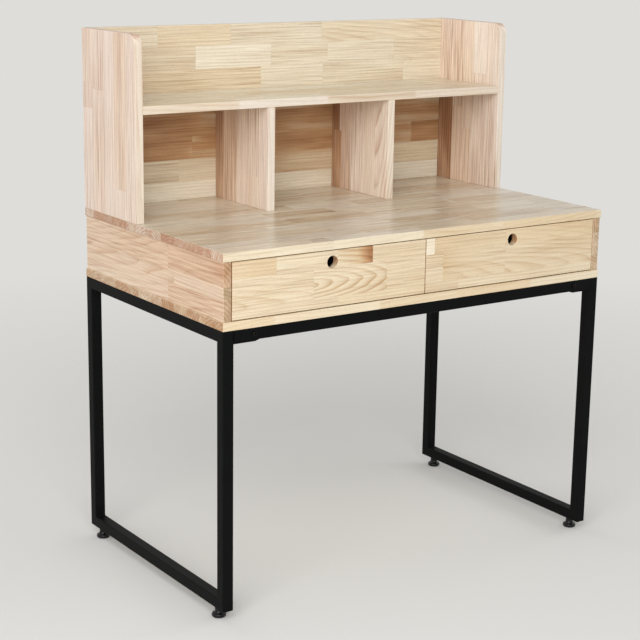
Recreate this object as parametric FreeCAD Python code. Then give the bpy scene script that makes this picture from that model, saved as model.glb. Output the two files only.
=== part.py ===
import FreeCAD, Part
import math
import os
from FreeCAD import Rotation, Vector

# Writing desk with two drawers and a hutch, on a welded frame of square tube.
# Millimetres. X runs along the width, the front faces -Y, Z is up, and the
# origin lies on the floor under the middle of the desk.

# Drawer case and desktop
desk_width = 1000.0
desk_depth = 600.0
board_thickness = 18.0
edge_ease = 1.0
case_setback = 2.0
drawer_bay_height = 121.0
divider_setback = 2.0

# Hutch
hutch_depth = 245.0
hutch_corner_radius = 25.0
cubby_height = 230.0
tray_height = 148.0
cubby_count = 3

# Steel frame, with sockets that the cross rails drop into
foot_height = 23.0
leg_length = 593.0
tube_side = 25.0
tube_wall = 1.5
tube_inner_radius = 1.0
rail_end_gap = 0.5
socket_plate = 3.0
socket_length = 60.0
socket_chamfer = 10.0
socket_front_setback = 1.0
socket_top_gap = 1.0

# Bolts of the cross rails
bolt_diameter = 6.0
bolt_inset = 12.0
bolt_head_diameter = 10.5
bolt_head_height = 3.3
bolt_head_round = 1.6
bolt_key_width = 4.0
bolt_key_depth = 2.0
bolt_tip = 2.0
bolt_nut_wall = 2.0
bolt_nut_height = 5.0
thread_clearance = 0.05

# Levelling feet
foot_diameter = 30.0
foot_neck_diameter = 17.0
foot_rim_flat = 2.0
foot_rim_round = 3.5
foot_neck_height = 5.5
foot_floor = 7.5
foot_top_gap = 0.5
foot_stand_in = 12.0
foot_flare_share = 0.3
stud_diameter = 8.0
stud_tip = 8.0
stud_nut_wall = 2.5
stud_nut_height = 6.5

# Screws that hold the base panel on the frame
frame_screw_diameter = 4.0
frame_screw_head_diameter = 8.0
frame_screw_head_height = 2.4
frame_screw_margin = 90.0
frame_screw_count = 3
screw_clearance = 0.1

# Dowels of the case and the hutch
dowel_diameter = 8.0
dowel_in_edge = 22.0
dowel_margin = 50.0
dowel_end_margin = 30.0
dowel_chamfer = 1.0
dowel_clearance = 0.05
hole_end_play = 0.3
board_skin = 1.0
long_joint_dowel_count = 3
short_joint_dowel_count = 2

# Drawers
front_gap = 2.0
finger_hole_diameter = 26.0
finger_hole_drop = 24.0
finger_hole_ease = 1.5
drawer_side_thickness = 12.0
drawer_floor_clearance = 14.0
drawer_top_clearance = 17.0
drawer_rear_clearance = 100.0
drawer_bottom_thickness = 5.0
groove_depth = 5.0
groove_rise = 8.0
groove_play = 0.2
drawer_dowel_diameter = 6.0
drawer_dowel_in_edge = 18.0
drawer_dowel_margin = 25.0
drawer_screw_skin = 3.0

# Ball runners, a cabinet member and a drawer member with caged balls between
runner_thickness = 12.7
runner_height = 35.0
runner_gauge = 1.2
runner_lip = 1.2
runner_setback = 4.0
runner_rear_margin = 6.0
runner_side_play = 1.0
ball_diameter = 3.0
ball_clearance = 0.05
ball_pitch = 12.0
cage_length = 110.0
cage_gauge = 0.6
cage_side_play = 0.15
runner_screw_diameter = 3.5
runner_screw_head_diameter = 6.5
runner_screw_head_height = 2.0
runner_screw_margin = 35.0
runner_screw_count = 3

# Cuts run past the faces that they open by this much
overrun = 1.0

# Levels and faces that follow from the sizes above
frame_top = foot_height + leg_length
rail_bottom = frame_top - tube_side
base_top = frame_top + board_thickness
desktop_bottom = base_top + drawer_bay_height
desktop_top = desktop_bottom + board_thickness
shelf_bottom = desktop_top + cubby_height
shelf_top = shelf_bottom + board_thickness
hutch_top = shelf_top + tray_height
half_board = board_thickness / 2
half_width = desk_width / 2
half_depth = desk_depth / 2
leg_inner_x = half_width - tube_side
leg_inner_y = half_depth - tube_side
case_half_width = half_width - case_setback
case_half_depth = half_depth - case_setback
bay_half_width = case_half_width - board_thickness
bay_rear = case_half_depth - board_thickness
hutch_half_width = half_width - board_thickness
hutch_front = half_depth - hutch_depth
hutch_back_face = half_depth - board_thickness
cubby_pitch = (2 * hutch_half_width + board_thickness) / cubby_count
front_rear_face = board_thickness - case_half_depth
drawer_bottom_edge = base_top + drawer_floor_clearance
drawer_top_edge = desktop_bottom - drawer_top_clearance
drawer_rear = bay_rear - drawer_rear_clearance
half_drawer_side = drawer_side_thickness / 2
runner_front = front_rear_face + runner_setback
runner_length = drawer_rear - runner_rear_margin - runner_front
runner_level = (drawer_bottom_edge + drawer_top_edge) / 2
runner_flange = runner_thickness - runner_gauge - runner_side_play
outer_half_height = runner_height / 2
ball_race = ball_diameter + 2 * ball_clearance
inner_half_height = outer_half_height - runner_gauge - ball_race
bite_in_face = half_board - board_skin
crossing_margin = dowel_margin + dowel_in_edge
foot_top = foot_height - foot_top_gap
stud_bore = stud_diameter + 2 * thread_clearance

X_AXIS = Vector(1, 0, 0)
Y_AXIS = Vector(0, 1, 0)
Z_AXIS = Vector(0, 0, 1)
SIDES = {"left": -1, "right": 1}
ENDS = {"front": -1, "rear": 1}
HEXAGON = 6
along_share = 0.5


def box_between(one, other):
    """Plain block between two opposite corners, given in any order."""
    low = Vector(min(one.x, other.x), min(one.y, other.y), min(one.z, other.z))
    size = Vector(abs(one.x - other.x), abs(one.y - other.y), abs(one.z - other.z))
    return Part.makeBox(size.x, size.y, size.z, low)


def board(one, other):
    """Panel between two opposite corners, with all its edges eased."""
    panel = box_between(one, other)
    return panel.makeFillet(edge_ease, panel.Edges)


def rod(start, direction, length, diameter):
    """Round bar from a point along a direction."""
    return Part.makeCylinder(diameter / 2, length, start, direction)


def hex_bar(start, direction, width, length):
    """Hexagonal bar, its width measured across the flats."""
    corner = width / math.sqrt(3)
    turns = [math.tau * step / HEXAGON for step in range(HEXAGON + 1)]
    ring = [Vector(corner * math.cos(turn), corner * math.sin(turn), 0) for turn in turns]
    bar = Part.Face(Part.makePolygon(ring)).extrude(Z_AXIS * length)
    bar.Placement = FreeCAD.Placement(start, Rotation(Z_AXIS, direction))
    return bar


def prism(points, push):
    """Solid made by pushing a flat outline along a vector."""
    return Part.Face(Part.makePolygon(points + points[:1])).extrude(push)


def spread(low, high, margin, count):
    """Places evenly spaced between two limits, the outer ones a margin inside."""
    step = (high - low - 2 * margin) / (count - 1)
    return [low + margin + step * index for index in range(count)]


def drilled(shape, holes):
    """A piece with every hole that reaches it taken out."""
    reaching = [hole for hole in holes if shape.BoundBox.intersect(hole.BoundBox)]
    return shape.cut(reaching) if reaching else shape


def dowel(seat, direction, diameter, in_face, in_edge):
    """Dowel across a joint, from a board's face into another's edge, and its hole."""
    start = seat - direction * in_face
    length = in_face + in_edge
    pin = rod(start, direction, length, diameter)
    ends = [edge for edge in pin.Edges if edge.isClosed()]
    pin = pin.makeChamfer(dowel_chamfer, ends)
    hole_length = length + 2 * hole_end_play
    hole = rod(start - direction * hole_end_play, direction, hole_length, diameter + 2 * dowel_clearance)
    return pin, hole


def screw(seat, direction, diameter, length, head_diameter, head_height):
    """Screw whose head bears on a seat, and the hole that its shank takes."""
    head = rod(seat, direction * -1, head_height, head_diameter)
    body = head.fuse(rod(seat, direction, length, diameter))
    hole_length = length + overrun + hole_end_play
    hole = rod(seat - direction * overrun, direction, hole_length, diameter + 2 * screw_clearance)
    return body, hole


def split(pairs):
    """Separate lists of the fasteners and of their holes."""
    return [pair[0] for pair in pairs], [pair[1] for pair in pairs]


def square_tube(one, other, axis):
    """Hollow square tube between two corners, open at both ends of its axis."""
    outer = box_between(one, other)
    across = Vector(1, 1, 1) - axis
    low = Vector(outer.BoundBox.XMin, outer.BoundBox.YMin, outer.BoundBox.ZMin)
    high = Vector(outer.BoundBox.XMax, outer.BoundBox.YMax, outer.BoundBox.ZMax)
    inset = across * tube_wall - axis * overrun
    bore = box_between(low + inset, high - inset)
    outer = outer.makeFillet(tube_inner_radius + tube_wall, long_edges(outer, axis))
    return outer.cut(bore.makeFillet(tube_inner_radius, long_edges(bore, axis)))


def long_edges(block, axis):
    """The four edges of a block that run along an axis."""
    return [edge for edge in block.Edges if abs(edge.Curve.Direction.dot(axis)) > along_share]


def mitre_wedge(side, end, level, up, for_leg):
    """What a corner's mitre takes off the leg, or off the rail that meets it."""
    out_y = end * (half_depth + overrun)
    in_y = end * (leg_inner_y - overrun)
    out_z = level + up * overrun
    in_z = level - up * (tube_side + overrun)
    third = (in_y, out_z) if for_leg else (out_y, in_z)
    inner_x = side * (leg_inner_x - overrun)
    points = [Vector(inner_x, y, z) for y, z in ((out_y, out_z), (in_y, in_z), third)]
    return prism(points, X_AXIS * (side * (tube_side + 2 * overrun)))


def side_frame(name, side):
    """One welded end of the frame: two legs and two rails, mitred at the corners."""
    inner_x = side * leg_inner_x
    outer_x = side * half_width
    levels = {"top": (frame_top, 1), "bottom": (foot_height, -1)}
    nodes = {}
    for end_name, end in ENDS.items():
        leg = square_tube(
            Vector(inner_x, end * leg_inner_y, foot_height),
            Vector(outer_x, end * half_depth, frame_top),
            Z_AXIS,
        )
        wedges = [mitre_wedge(side, end, level, up, True) for level, up in levels.values()]
        nodes[f"{name}_{end_name}_leg"] = leg.cut(wedges)
    for rail_name, (level, up) in levels.items():
        rail = square_tube(
            Vector(inner_x, -half_depth, level - up * tube_side),
            Vector(outer_x, half_depth, level),
            Y_AXIS,
        )
        wedges = [mitre_wedge(side, end, level, up, False) for end in ENDS.values()]
        nodes[f"{name}_{rail_name}_rail"] = rail.cut(wedges)
    return nodes


def cross_rail(end):
    """Tube between the two ends of the frame, just short of both legs."""
    reach = leg_inner_x - rail_end_gap
    return square_tube(
        Vector(-reach, end * leg_inner_y, rail_bottom),
        Vector(reach, end * half_depth, frame_top),
        X_AXIS,
    )


def rail_socket(side, end):
    """Angle welded to a leg: the cross rail rests on it and is bolted to its back."""
    leg_x = side * leg_inner_x
    free_x = side * (leg_inner_x - socket_length)
    low = rail_bottom - socket_plate
    back_y = end * (leg_inner_y - socket_plate)
    seat = box_between(
        Vector(leg_x, end * (half_depth - socket_front_setback), low),
        Vector(free_x, back_y, rail_bottom),
    )
    back = box_between(
        Vector(leg_x, end * leg_inner_y, low),
        Vector(free_x, back_y, frame_top - socket_top_gap),
    )
    bevel = [
        Vector(free_x, end * (half_depth + overrun), low),
        Vector(free_x + side * socket_chamfer, end * (half_depth + overrun), low),
        Vector(free_x, end * (half_depth + overrun), rail_bottom),
    ]
    corner = prism(bevel, Y_AXIS * (-end * (tube_side + socket_plate + 2 * overrun)))
    return seat.fuse(back).removeSplitter().cut(corner)


def rail_bolt(side, end):
    """Button-head bolt through a cross rail and its socket, its nut and its hole."""
    inward = Y_AXIS * -end
    from_leg = socket_length - bolt_inset
    seat = Vector(side * (leg_inner_x - from_leg), end * half_depth, (rail_bottom + frame_top) / 2)
    head = rod(seat, inward * -1, bolt_head_height, bolt_head_diameter)
    rim = max(
        (edge for edge in head.Edges if edge.isClosed()),
        key=lambda edge: (edge.CenterOfMass - seat).Length,
    )
    head = head.makeFillet(bolt_head_round, [rim])
    key = hex_bar(seat - inward * bolt_head_height, inward, bolt_key_width, bolt_key_depth)
    grip = tube_side + socket_plate
    length = grip + bolt_nut_height + bolt_tip
    bolt = head.cut(key).fuse(rod(seat, inward, length, bolt_diameter))
    bore = bolt_diameter + 2 * thread_clearance
    nut = hex_bar(seat + inward * grip, inward, bolt_diameter + 2 * bolt_nut_wall, bolt_nut_height)
    nut = nut.cut(rod(seat, inward, length, bore))
    hole = rod(seat - inward * overrun, inward, grip + 2 * overrun, bolt_diameter + 2 * screw_clearance)
    return bolt, nut, hole


def foot_axis(side, end):
    """Where a foot stands: under a bottom rail, just inside the leg."""
    return Vector(side * (half_width - tube_side / 2), end * (leg_inner_y - foot_stand_in), 0)


def levelling_foot(place):
    """Moulded foot: a rounded rim that sweeps in to a neck, bored for its stud."""
    rim = foot_diameter / 2
    neck = foot_neck_diameter / 2
    inside = rim - foot_rim_round
    slant = foot_rim_round * math.sin(math.pi / 4)
    low_round = foot_rim_round
    high_round = low_round + foot_rim_flat
    rim_top = high_round + foot_rim_round
    shoulder = foot_top - foot_neck_height

    def at(radius, level):
        return Vector(radius, 0, level)

    sweep = at(
        neck + (inside - neck) * foot_flare_share,
        rim_top + (shoulder - rim_top) * foot_flare_share,
    )
    outline = [
        Part.LineSegment(at(0, 0), at(inside, 0)),
        Part.Arc(at(inside, 0), at(inside + slant, low_round - slant), at(rim, low_round)),
        Part.LineSegment(at(rim, low_round), at(rim, high_round)),
        Part.Arc(at(rim, high_round), at(inside + slant, high_round + slant), at(inside, rim_top)),
        Part.Arc(at(inside, rim_top), sweep, at(neck, shoulder)),
        Part.LineSegment(at(neck, shoulder), at(neck, foot_top)),
        Part.LineSegment(at(neck, foot_top), at(0, foot_top)),
        Part.LineSegment(at(0, foot_top), at(0, 0)),
    ]
    face = Part.Face(Part.Wire([piece.toShape() for piece in outline]))
    body = face.revolve(Vector(0, 0, 0), Z_AXIS, 360)
    foot = body.cut(rod(at(0, foot_floor), Z_AXIS, foot_height - foot_floor, stud_bore))
    foot.translate(place)
    return foot


def foot_stud(place):
    """Threaded stud from inside the foot up through the weld nut."""
    end = foot_height + tube_wall + stud_nut_height + stud_tip
    return rod(place + Z_AXIS * foot_floor, Z_AXIS, end - foot_floor, stud_diameter)


def foot_nut(place):
    """Weld nut inside the bottom rail, standing on its lower wall."""
    seat = place + Z_AXIS * (foot_height + tube_wall)
    nut = hex_bar(seat, Z_AXIS, stud_diameter + 2 * stud_nut_wall, stud_nut_height)
    return nut.cut(rod(seat, Z_AXIS, stud_nut_height, stud_bore))


def stud_hole(place):
    """Hole for a stud in the lower wall of the bottom rail."""
    start = place + Z_AXIS * (foot_height - overrun)
    return rod(start, Z_AXIS, tube_wall + overrun, stud_diameter + 2 * screw_clearance)


def frame_screws():
    """Screws up through the top rails and the cross rails into the base panel."""
    middle_x = half_width - tube_side / 2
    middle_y = half_depth - tube_side / 2
    places = []
    for side in SIDES.values():
        for y in spread(-leg_inner_y, leg_inner_y, frame_screw_margin, frame_screw_count):
            places.append(Vector(side * middle_x, y, rail_bottom))
    for end in ENDS.values():
        for x in spread(-leg_inner_x, leg_inner_x, socket_length + frame_screw_margin, frame_screw_count):
            places.append(Vector(x, end * middle_y, rail_bottom))
    shank = (frame_screw_diameter, tube_side + bite_in_face)
    head = (frame_screw_head_diameter, frame_screw_head_height)
    return [screw(place, Z_AXIS, *shank, *head) for place in places]


def case_dowel_seats():
    """Joints of the drawer case: panel edges on the base, the desktop and the sides."""
    places = []
    for side in SIDES.values():
        for y in spread(-case_half_depth, case_half_depth, dowel_margin, long_joint_dowel_count):
            places.append((side * (case_half_width - half_board), y))
    for x in spread(-bay_half_width, bay_half_width, crossing_margin, long_joint_dowel_count):
        places.append((x, case_half_depth - half_board))
    for y in spread(front_rear_face + divider_setback, bay_rear, dowel_margin, short_joint_dowel_count):
        places.append((0, y))
    seats = []
    for x, y in places:
        seats.append((Vector(x, y, base_top), Z_AXIS))
        seats.append((Vector(x, y, desktop_bottom), Z_AXIS * -1))
    for side in SIDES.values():
        for z in spread(base_top, desktop_bottom, dowel_end_margin, short_joint_dowel_count):
            seats.append((Vector(side * bay_half_width, case_half_depth - half_board, z), X_AXIS * -side))
    return seats


def cubby_dividers():
    """Middle planes of the hutch's dividers, from left to right."""
    return [cubby_pitch * step - hutch_half_width - half_board for step in range(1, cubby_count)]


def hutch_dowel_seats():
    """Joints of the hutch: its edges on the desktop, and the shelf and back in its sides."""
    shelf_middle = shelf_bottom + half_board
    back_middle = half_depth - half_board
    seats = []
    for side in SIDES.values():
        inner_x = side * hutch_half_width
        for y in spread(hutch_front, half_depth, dowel_margin, short_joint_dowel_count):
            seats.append((Vector(side * (half_width - half_board), y, desktop_top), Z_AXIS))
        for y in spread(hutch_front, hutch_back_face, dowel_margin, short_joint_dowel_count):
            seats.append((Vector(inner_x, y, shelf_middle), X_AXIS * -side))
        for z in spread(desktop_top, hutch_top, dowel_margin, long_joint_dowel_count):
            seats.append((Vector(inner_x, back_middle, z), X_AXIS * -side))
    for x in spread(-hutch_half_width, hutch_half_width, crossing_margin, long_joint_dowel_count):
        seats.append((Vector(x, back_middle, desktop_top), Z_AXIS))
        seats.append((Vector(x, hutch_back_face, shelf_middle), Y_AXIS * -1))
    for x in cubby_dividers():
        for y in spread(hutch_front, hutch_back_face, dowel_margin, short_joint_dowel_count):
            seats.append((Vector(x, y, desktop_top), Z_AXIS))
            seats.append((Vector(x, y, shelf_bottom), Z_AXIS * -1))
    return seats


def case_panels():
    """Base, desktop, side panels, back panel and centre divider of the desk."""
    nodes = {
        "base_panel": board(
            Vector(-half_width, -half_depth, frame_top),
            Vector(half_width, half_depth, base_top),
        ),
        "desktop": board(
            Vector(-half_width, -half_depth, desktop_bottom),
            Vector(half_width, half_depth, desktop_top),
        ),
        "back_panel": board(
            Vector(-bay_half_width, bay_rear, base_top),
            Vector(bay_half_width, case_half_depth, desktop_bottom),
        ),
        "centre_divider": board(
            Vector(-half_board, front_rear_face + divider_setback, base_top),
            Vector(half_board, bay_rear, desktop_bottom),
        ),
    }
    for name, side in SIDES.items():
        nodes[f"{name}_side_panel"] = board(
            Vector(side * bay_half_width, -case_half_depth, base_top),
            Vector(side * case_half_width, case_half_depth, desktop_bottom),
        )
    return nodes


def hutch_side(side):
    """Upright end of the hutch, its upper front corner rounded."""
    block = box_between(
        Vector(side * hutch_half_width, hutch_front, desktop_top),
        Vector(side * half_width, half_depth, hutch_top),
    )
    corner = Vector(side * hutch_half_width, hutch_front, hutch_top)
    nearest = min(long_edges(block, X_AXIS), key=lambda edge: edge.distToShape(Part.Vertex(corner))[0])
    rounded = block.makeFillet(hutch_corner_radius, [nearest])
    return rounded.makeFillet(edge_ease, rounded.Edges)


def hutch_panels():
    """Sides, back panel, shelf and dividers of the hutch."""
    nodes = {f"hutch_{name}_side": hutch_side(side) for name, side in SIDES.items()}
    nodes["hutch_back_panel"] = board(
        Vector(-hutch_half_width, hutch_back_face, desktop_top),
        Vector(hutch_half_width, half_depth, hutch_top),
    )
    nodes["hutch_shelf"] = board(
        Vector(-hutch_half_width, hutch_front, shelf_bottom),
        Vector(hutch_half_width, hutch_back_face, shelf_top),
    )
    for number, x in enumerate(cubby_dividers(), 1):
        nodes[f"hutch_divider_{number}"] = board(
            Vector(x - half_board, hutch_front, desktop_top),
            Vector(x + half_board, hutch_back_face, shelf_bottom),
        )
    return nodes


def bay_walls(side):
    """The two faces that a drawer runs between, each with the way towards the drawer."""
    low, high = sorted((side * bay_half_width, side * half_board))
    return {"left": (low, 1), "right": (high, -1)}


def runner_member(upper, face_x, way):
    """Length of runner, from the upper half of its profile, measured off the face it lies on."""
    lower = [(off, -rise) for off, rise in reversed(upper)]
    outline = upper + lower
    points = [Vector(face_x + way * off, runner_front, runner_level + rise) for off, rise in outline]
    return prism(points, Y_AXIS * runner_length)


def cabinet_runner(wall_x, way):
    """Outer member: a channel with lips turned in, which the balls run inside."""
    web = runner_gauge
    rim = runner_flange
    turn = rim - runner_gauge
    top = outer_half_height
    flat = top - runner_gauge
    lip = flat - runner_lip
    upper = [(web, flat), (turn, flat), (turn, lip), (rim, lip), (rim, top), (0, top)]
    return runner_member(upper, wall_x, way)


def drawer_runner(side_x, way):
    """Inner member: a channel with lips turned out, which runs on the balls."""
    web = runner_gauge
    rim = runner_flange
    turn = rim - runner_gauge
    top = inner_half_height
    flat = top - runner_gauge
    lip = top + runner_lip
    upper = [(web, flat), (rim, flat), (rim, lip), (turn, lip), (turn, top), (0, top)]
    return runner_member(upper, side_x, way)


def ball_cage(wall_x, way, up):
    """Strip of caged balls between the two members, above or below the middle."""
    level = runner_level + up * (inner_half_height + ball_race / 2)
    lip_gap = runner_gauge + cage_side_play
    front = runner_front + (runner_length - cage_length) / 2
    strip = box_between(
        Vector(wall_x + way * (runner_thickness - runner_flange + lip_gap), front, level - cage_gauge / 2),
        Vector(wall_x + way * (runner_flange - lip_gap), front + cage_length, level + cage_gauge / 2),
    )
    count = int(cage_length / ball_pitch)
    first = front + (cage_length - (count - 1) * ball_pitch) / 2
    middle = wall_x + way * runner_thickness / 2
    places = [Vector(middle, first + ball_pitch * index, level) for index in range(count)]
    return strip.fuse([Part.makeSphere(ball_diameter / 2, place) for place in places])


def runner_screws(face_x, way, depth):
    """Screws from inside a runner's channel into the board that it lies on."""
    shank = (runner_screw_diameter, runner_gauge + depth)
    head = (runner_screw_head_diameter, runner_screw_head_height)
    along = spread(runner_front, runner_front + runner_length, runner_screw_margin, runner_screw_count)
    seats = [Vector(face_x + way * runner_gauge, y, runner_level) for y in along]
    return [screw(seat, X_AXIS * -way, *shank, *head) for seat in seats]


def drawer_front(side):
    """Inset front with a round finger hole near the middle of its upper edge."""
    inner_x = side * front_gap / 2
    outer_x = side * (bay_half_width - front_gap)
    top = desktop_bottom - front_gap
    front = board(
        Vector(inner_x, -case_half_depth, base_top + front_gap),
        Vector(outer_x, front_rear_face, top),
    )
    centre = Vector((inner_x + outer_x) / 2, -case_half_depth - overrun, top - finger_hole_drop)
    front = front.cut(rod(centre, Y_AXIS, board_thickness + 2 * overrun, finger_hole_diameter))
    rims = [edge for edge in front.Edges if edge.isClosed()]
    return front.makeFillet(finger_hole_ease, rims)


def drawer_dowels(low_x, high_x):
    """Dowels of a drawer box: its sides in the front, and its back in the sides."""
    size = (drawer_dowel_diameter, half_drawer_side, drawer_dowel_in_edge)
    pairs = []
    for z in spread(drawer_bottom_edge, drawer_top_edge, drawer_dowel_margin, short_joint_dowel_count):
        for outer_x, way in ((low_x, 1), (high_x, -1)):
            at_front = Vector(outer_x + way * half_drawer_side, front_rear_face, z)
            at_back = Vector(outer_x + way * drawer_side_thickness, drawer_rear - half_drawer_side, z)
            pairs.append(dowel(at_front, Y_AXIS, *size))
            pairs.append(dowel(at_back, X_AXIS * way, *size))
    return split(pairs)


def drawer_bottom(low_x, high_x, play):
    """Thin bottom held in grooves all round, or with play added, the groove itself."""
    into_side = drawer_side_thickness - groove_depth
    low = drawer_bottom_edge + groove_rise - play
    high = low + drawer_bottom_thickness + 2 * play
    return box_between(
        Vector(low_x + into_side - play, front_rear_face - groove_depth - play, low),
        Vector(high_x - into_side + play, drawer_rear - into_side + play, high),
    )


def drawer(name, side):
    """A whole drawer: front, box, dowels, and the runner members screwed to it."""
    walls = bay_walls(side)
    faces = {hand: wall_x + way * runner_thickness for hand, (wall_x, way) in walls.items()}
    low_x = faces["left"]
    high_x = faces["right"]
    pins, holes = drawer_dowels(low_x, high_x)
    screws = []
    depth = drawer_side_thickness - drawer_screw_skin
    for hand, (wall_x, way) in walls.items():
        bodies, screw_holes = split(runner_screws(faces[hand], -way, depth))
        screws += bodies
        holes += screw_holes
    holes.append(drawer_bottom(low_x, high_x, groove_play))
    nodes = {"front": drawer_front(side)}
    for hand, (wall_x, way) in walls.items():
        nodes[f"{hand}_side"] = board(
            Vector(faces[hand], front_rear_face, drawer_bottom_edge),
            Vector(faces[hand] + way * drawer_side_thickness, drawer_rear, drawer_top_edge),
        )
        nodes[f"{hand}_runner"] = drawer_runner(faces[hand], -way)
    nodes["back"] = board(
        Vector(low_x + drawer_side_thickness, drawer_rear - drawer_side_thickness, drawer_bottom_edge),
        Vector(high_x - drawer_side_thickness, drawer_rear, drawer_top_edge),
    )
    nodes = {key: drilled(shape, holes) for key, shape in nodes.items()}
    nodes["bottom"] = drawer_bottom(low_x, high_x, 0)
    nodes["dowels"] = Part.makeCompound(pins)
    nodes["runner_screws"] = Part.makeCompound(screws)
    cages = [ball_cage(wall_x, way, up) for wall_x, way in walls.values() for up in (1, -1)]
    nodes["ball_cages"] = Part.makeCompound(cages)
    return {f"{name}_drawer_{key}": shape for key, shape in nodes.items()}


def fixed_pieces():
    """Everything that stands still: the frame, the case, the hutch and the bays' runners."""
    nodes = {}
    for name, side in SIDES.items():
        nodes.update(side_frame(name, side))
        for hand, (wall_x, way) in bay_walls(side).items():
            nodes[f"{name}_bay_{hand}_runner"] = cabinet_runner(wall_x, way)
    for name, end in ENDS.items():
        nodes[f"{name}_cross_rail"] = cross_rail(end)
    corners = [(side, end) for side in SIDES.values() for end in ENDS.values()]
    nodes["cross_rail_sockets"] = Part.makeCompound([rail_socket(side, end) for side, end in corners])
    nodes.update(case_panels())
    nodes.update(hutch_panels())

    seats = case_dowel_seats() + hutch_dowel_seats()
    pins, holes = split([dowel(*seat, dowel_diameter, bite_in_face, dowel_in_edge) for seat in seats])
    panel_screws, screw_holes = split(frame_screws())
    holes += screw_holes
    bay_screws = []
    for side in SIDES.values():
        for wall_x, way in bay_walls(side).values():
            bodies, screw_holes = split(runner_screws(wall_x, way, bite_in_face))
            bay_screws += bodies
            holes += screw_holes
    bolts = [rail_bolt(side, end) for side, end in corners]
    holes += [hole for bolt, nut, hole in bolts]
    places = [foot_axis(side, end) for side, end in corners]
    holes += [stud_hole(place) for place in places]
    nodes = {name: drilled(shape, holes) for name, shape in nodes.items()}

    nodes["panel_dowels"] = Part.makeCompound(pins)
    nodes["frame_screws"] = Part.makeCompound(panel_screws)
    nodes["bay_runner_screws"] = Part.makeCompound(bay_screws)
    nodes["cross_rail_bolts"] = Part.makeCompound([bolt for bolt, nut, hole in bolts])
    nuts = [nut for bolt, nut, hole in bolts] + [foot_nut(place) for place in places]
    nodes["weld_nuts"] = Part.makeCompound(nuts)
    return nodes


def feet():
    """The four levelling feet with their studs."""
    nodes = {}
    for side_name, side in SIDES.items():
        for end_name, end in ENDS.items():
            place = foot_axis(side, end)
            nodes[f"{side_name}_{end_name}_foot"] = levelling_foot(place)
            nodes[f"{side_name}_{end_name}_foot_stud"] = foot_stud(place)
    return nodes


def main():
    """Build every piece and write one file for each."""
    nodes = fixed_pieces()
    nodes.update(feet())
    for name, side in SIDES.items():
        nodes.update(drawer(name, side))
    os.makedirs("parts", exist_ok=True)
    for name, shape in nodes.items():
        shape.exportStep(f"parts/{name}.step")
    print(len(nodes), "pieces written")


main()
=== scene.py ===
import math
from dataclasses import dataclass

import bmesh
import bpy
from bpy.props import FloatProperty, FloatVectorProperty, IntProperty, PointerProperty
from mathutils import Matrix, Vector


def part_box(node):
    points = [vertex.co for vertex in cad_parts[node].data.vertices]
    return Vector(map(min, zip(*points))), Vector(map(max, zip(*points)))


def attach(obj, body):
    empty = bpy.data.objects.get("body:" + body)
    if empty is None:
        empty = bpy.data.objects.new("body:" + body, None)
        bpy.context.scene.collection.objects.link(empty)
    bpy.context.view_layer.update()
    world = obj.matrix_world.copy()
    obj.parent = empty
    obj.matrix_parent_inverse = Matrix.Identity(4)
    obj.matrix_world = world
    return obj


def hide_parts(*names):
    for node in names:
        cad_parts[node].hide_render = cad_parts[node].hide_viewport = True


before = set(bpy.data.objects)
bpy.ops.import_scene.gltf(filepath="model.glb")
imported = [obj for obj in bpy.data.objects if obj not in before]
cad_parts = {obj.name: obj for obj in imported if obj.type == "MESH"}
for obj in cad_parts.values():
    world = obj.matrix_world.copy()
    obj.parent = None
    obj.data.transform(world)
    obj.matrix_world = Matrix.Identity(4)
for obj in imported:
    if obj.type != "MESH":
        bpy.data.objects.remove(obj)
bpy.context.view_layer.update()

bl_info = {
    "name": "Desk with shelves",
    "version": (1, 0, 0),
    "blender": (4, 5, 0),
    "location": "View3D > Sidebar > Desk",
    "description": "Finishes and fine fittings of a rubberwood desk on a steel frame, and its studio",
    "category": "Object",
}

SIDES = ("left", "right")
ENDS = ("front", "rear")
CORNERS = [f"{side}_{end}" for side in SIDES for end in ENDS]
AXES = "XYZ"

# No length can be set smaller than this
SMALLEST = 0.0001


def linear(hex_colour):
    """Linear red, green and blue of an sRGB hex colour."""
    codes = [int(hex_colour[at:at + 2], 16) / 255 for at in (1, 3, 5)]
    return tuple(c / 12.92 if c <= 0.04045 else ((c + 0.055) / 1.055) ** 2.4 for c in codes)


def length_setting(name, description, default):
    """A length in metres that a user can change."""
    return FloatProperty(name=name, description=description, default=default, min=SMALLEST, unit="LENGTH")


def colour_setting(name, description, hex_colour):
    """A colour that a user can change, from its sRGB hex value."""
    return FloatVectorProperty(name=name, description=description, default=linear(hex_colour),
                               min=0.0, max=1.0, subtype="COLOR")


def angle_setting(name, description, degrees):
    """An angle that a user can change, from its degrees."""
    return FloatProperty(name=name, description=description, default=math.radians(degrees), subtype="ANGLE",
                         unit="ROTATION")


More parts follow.
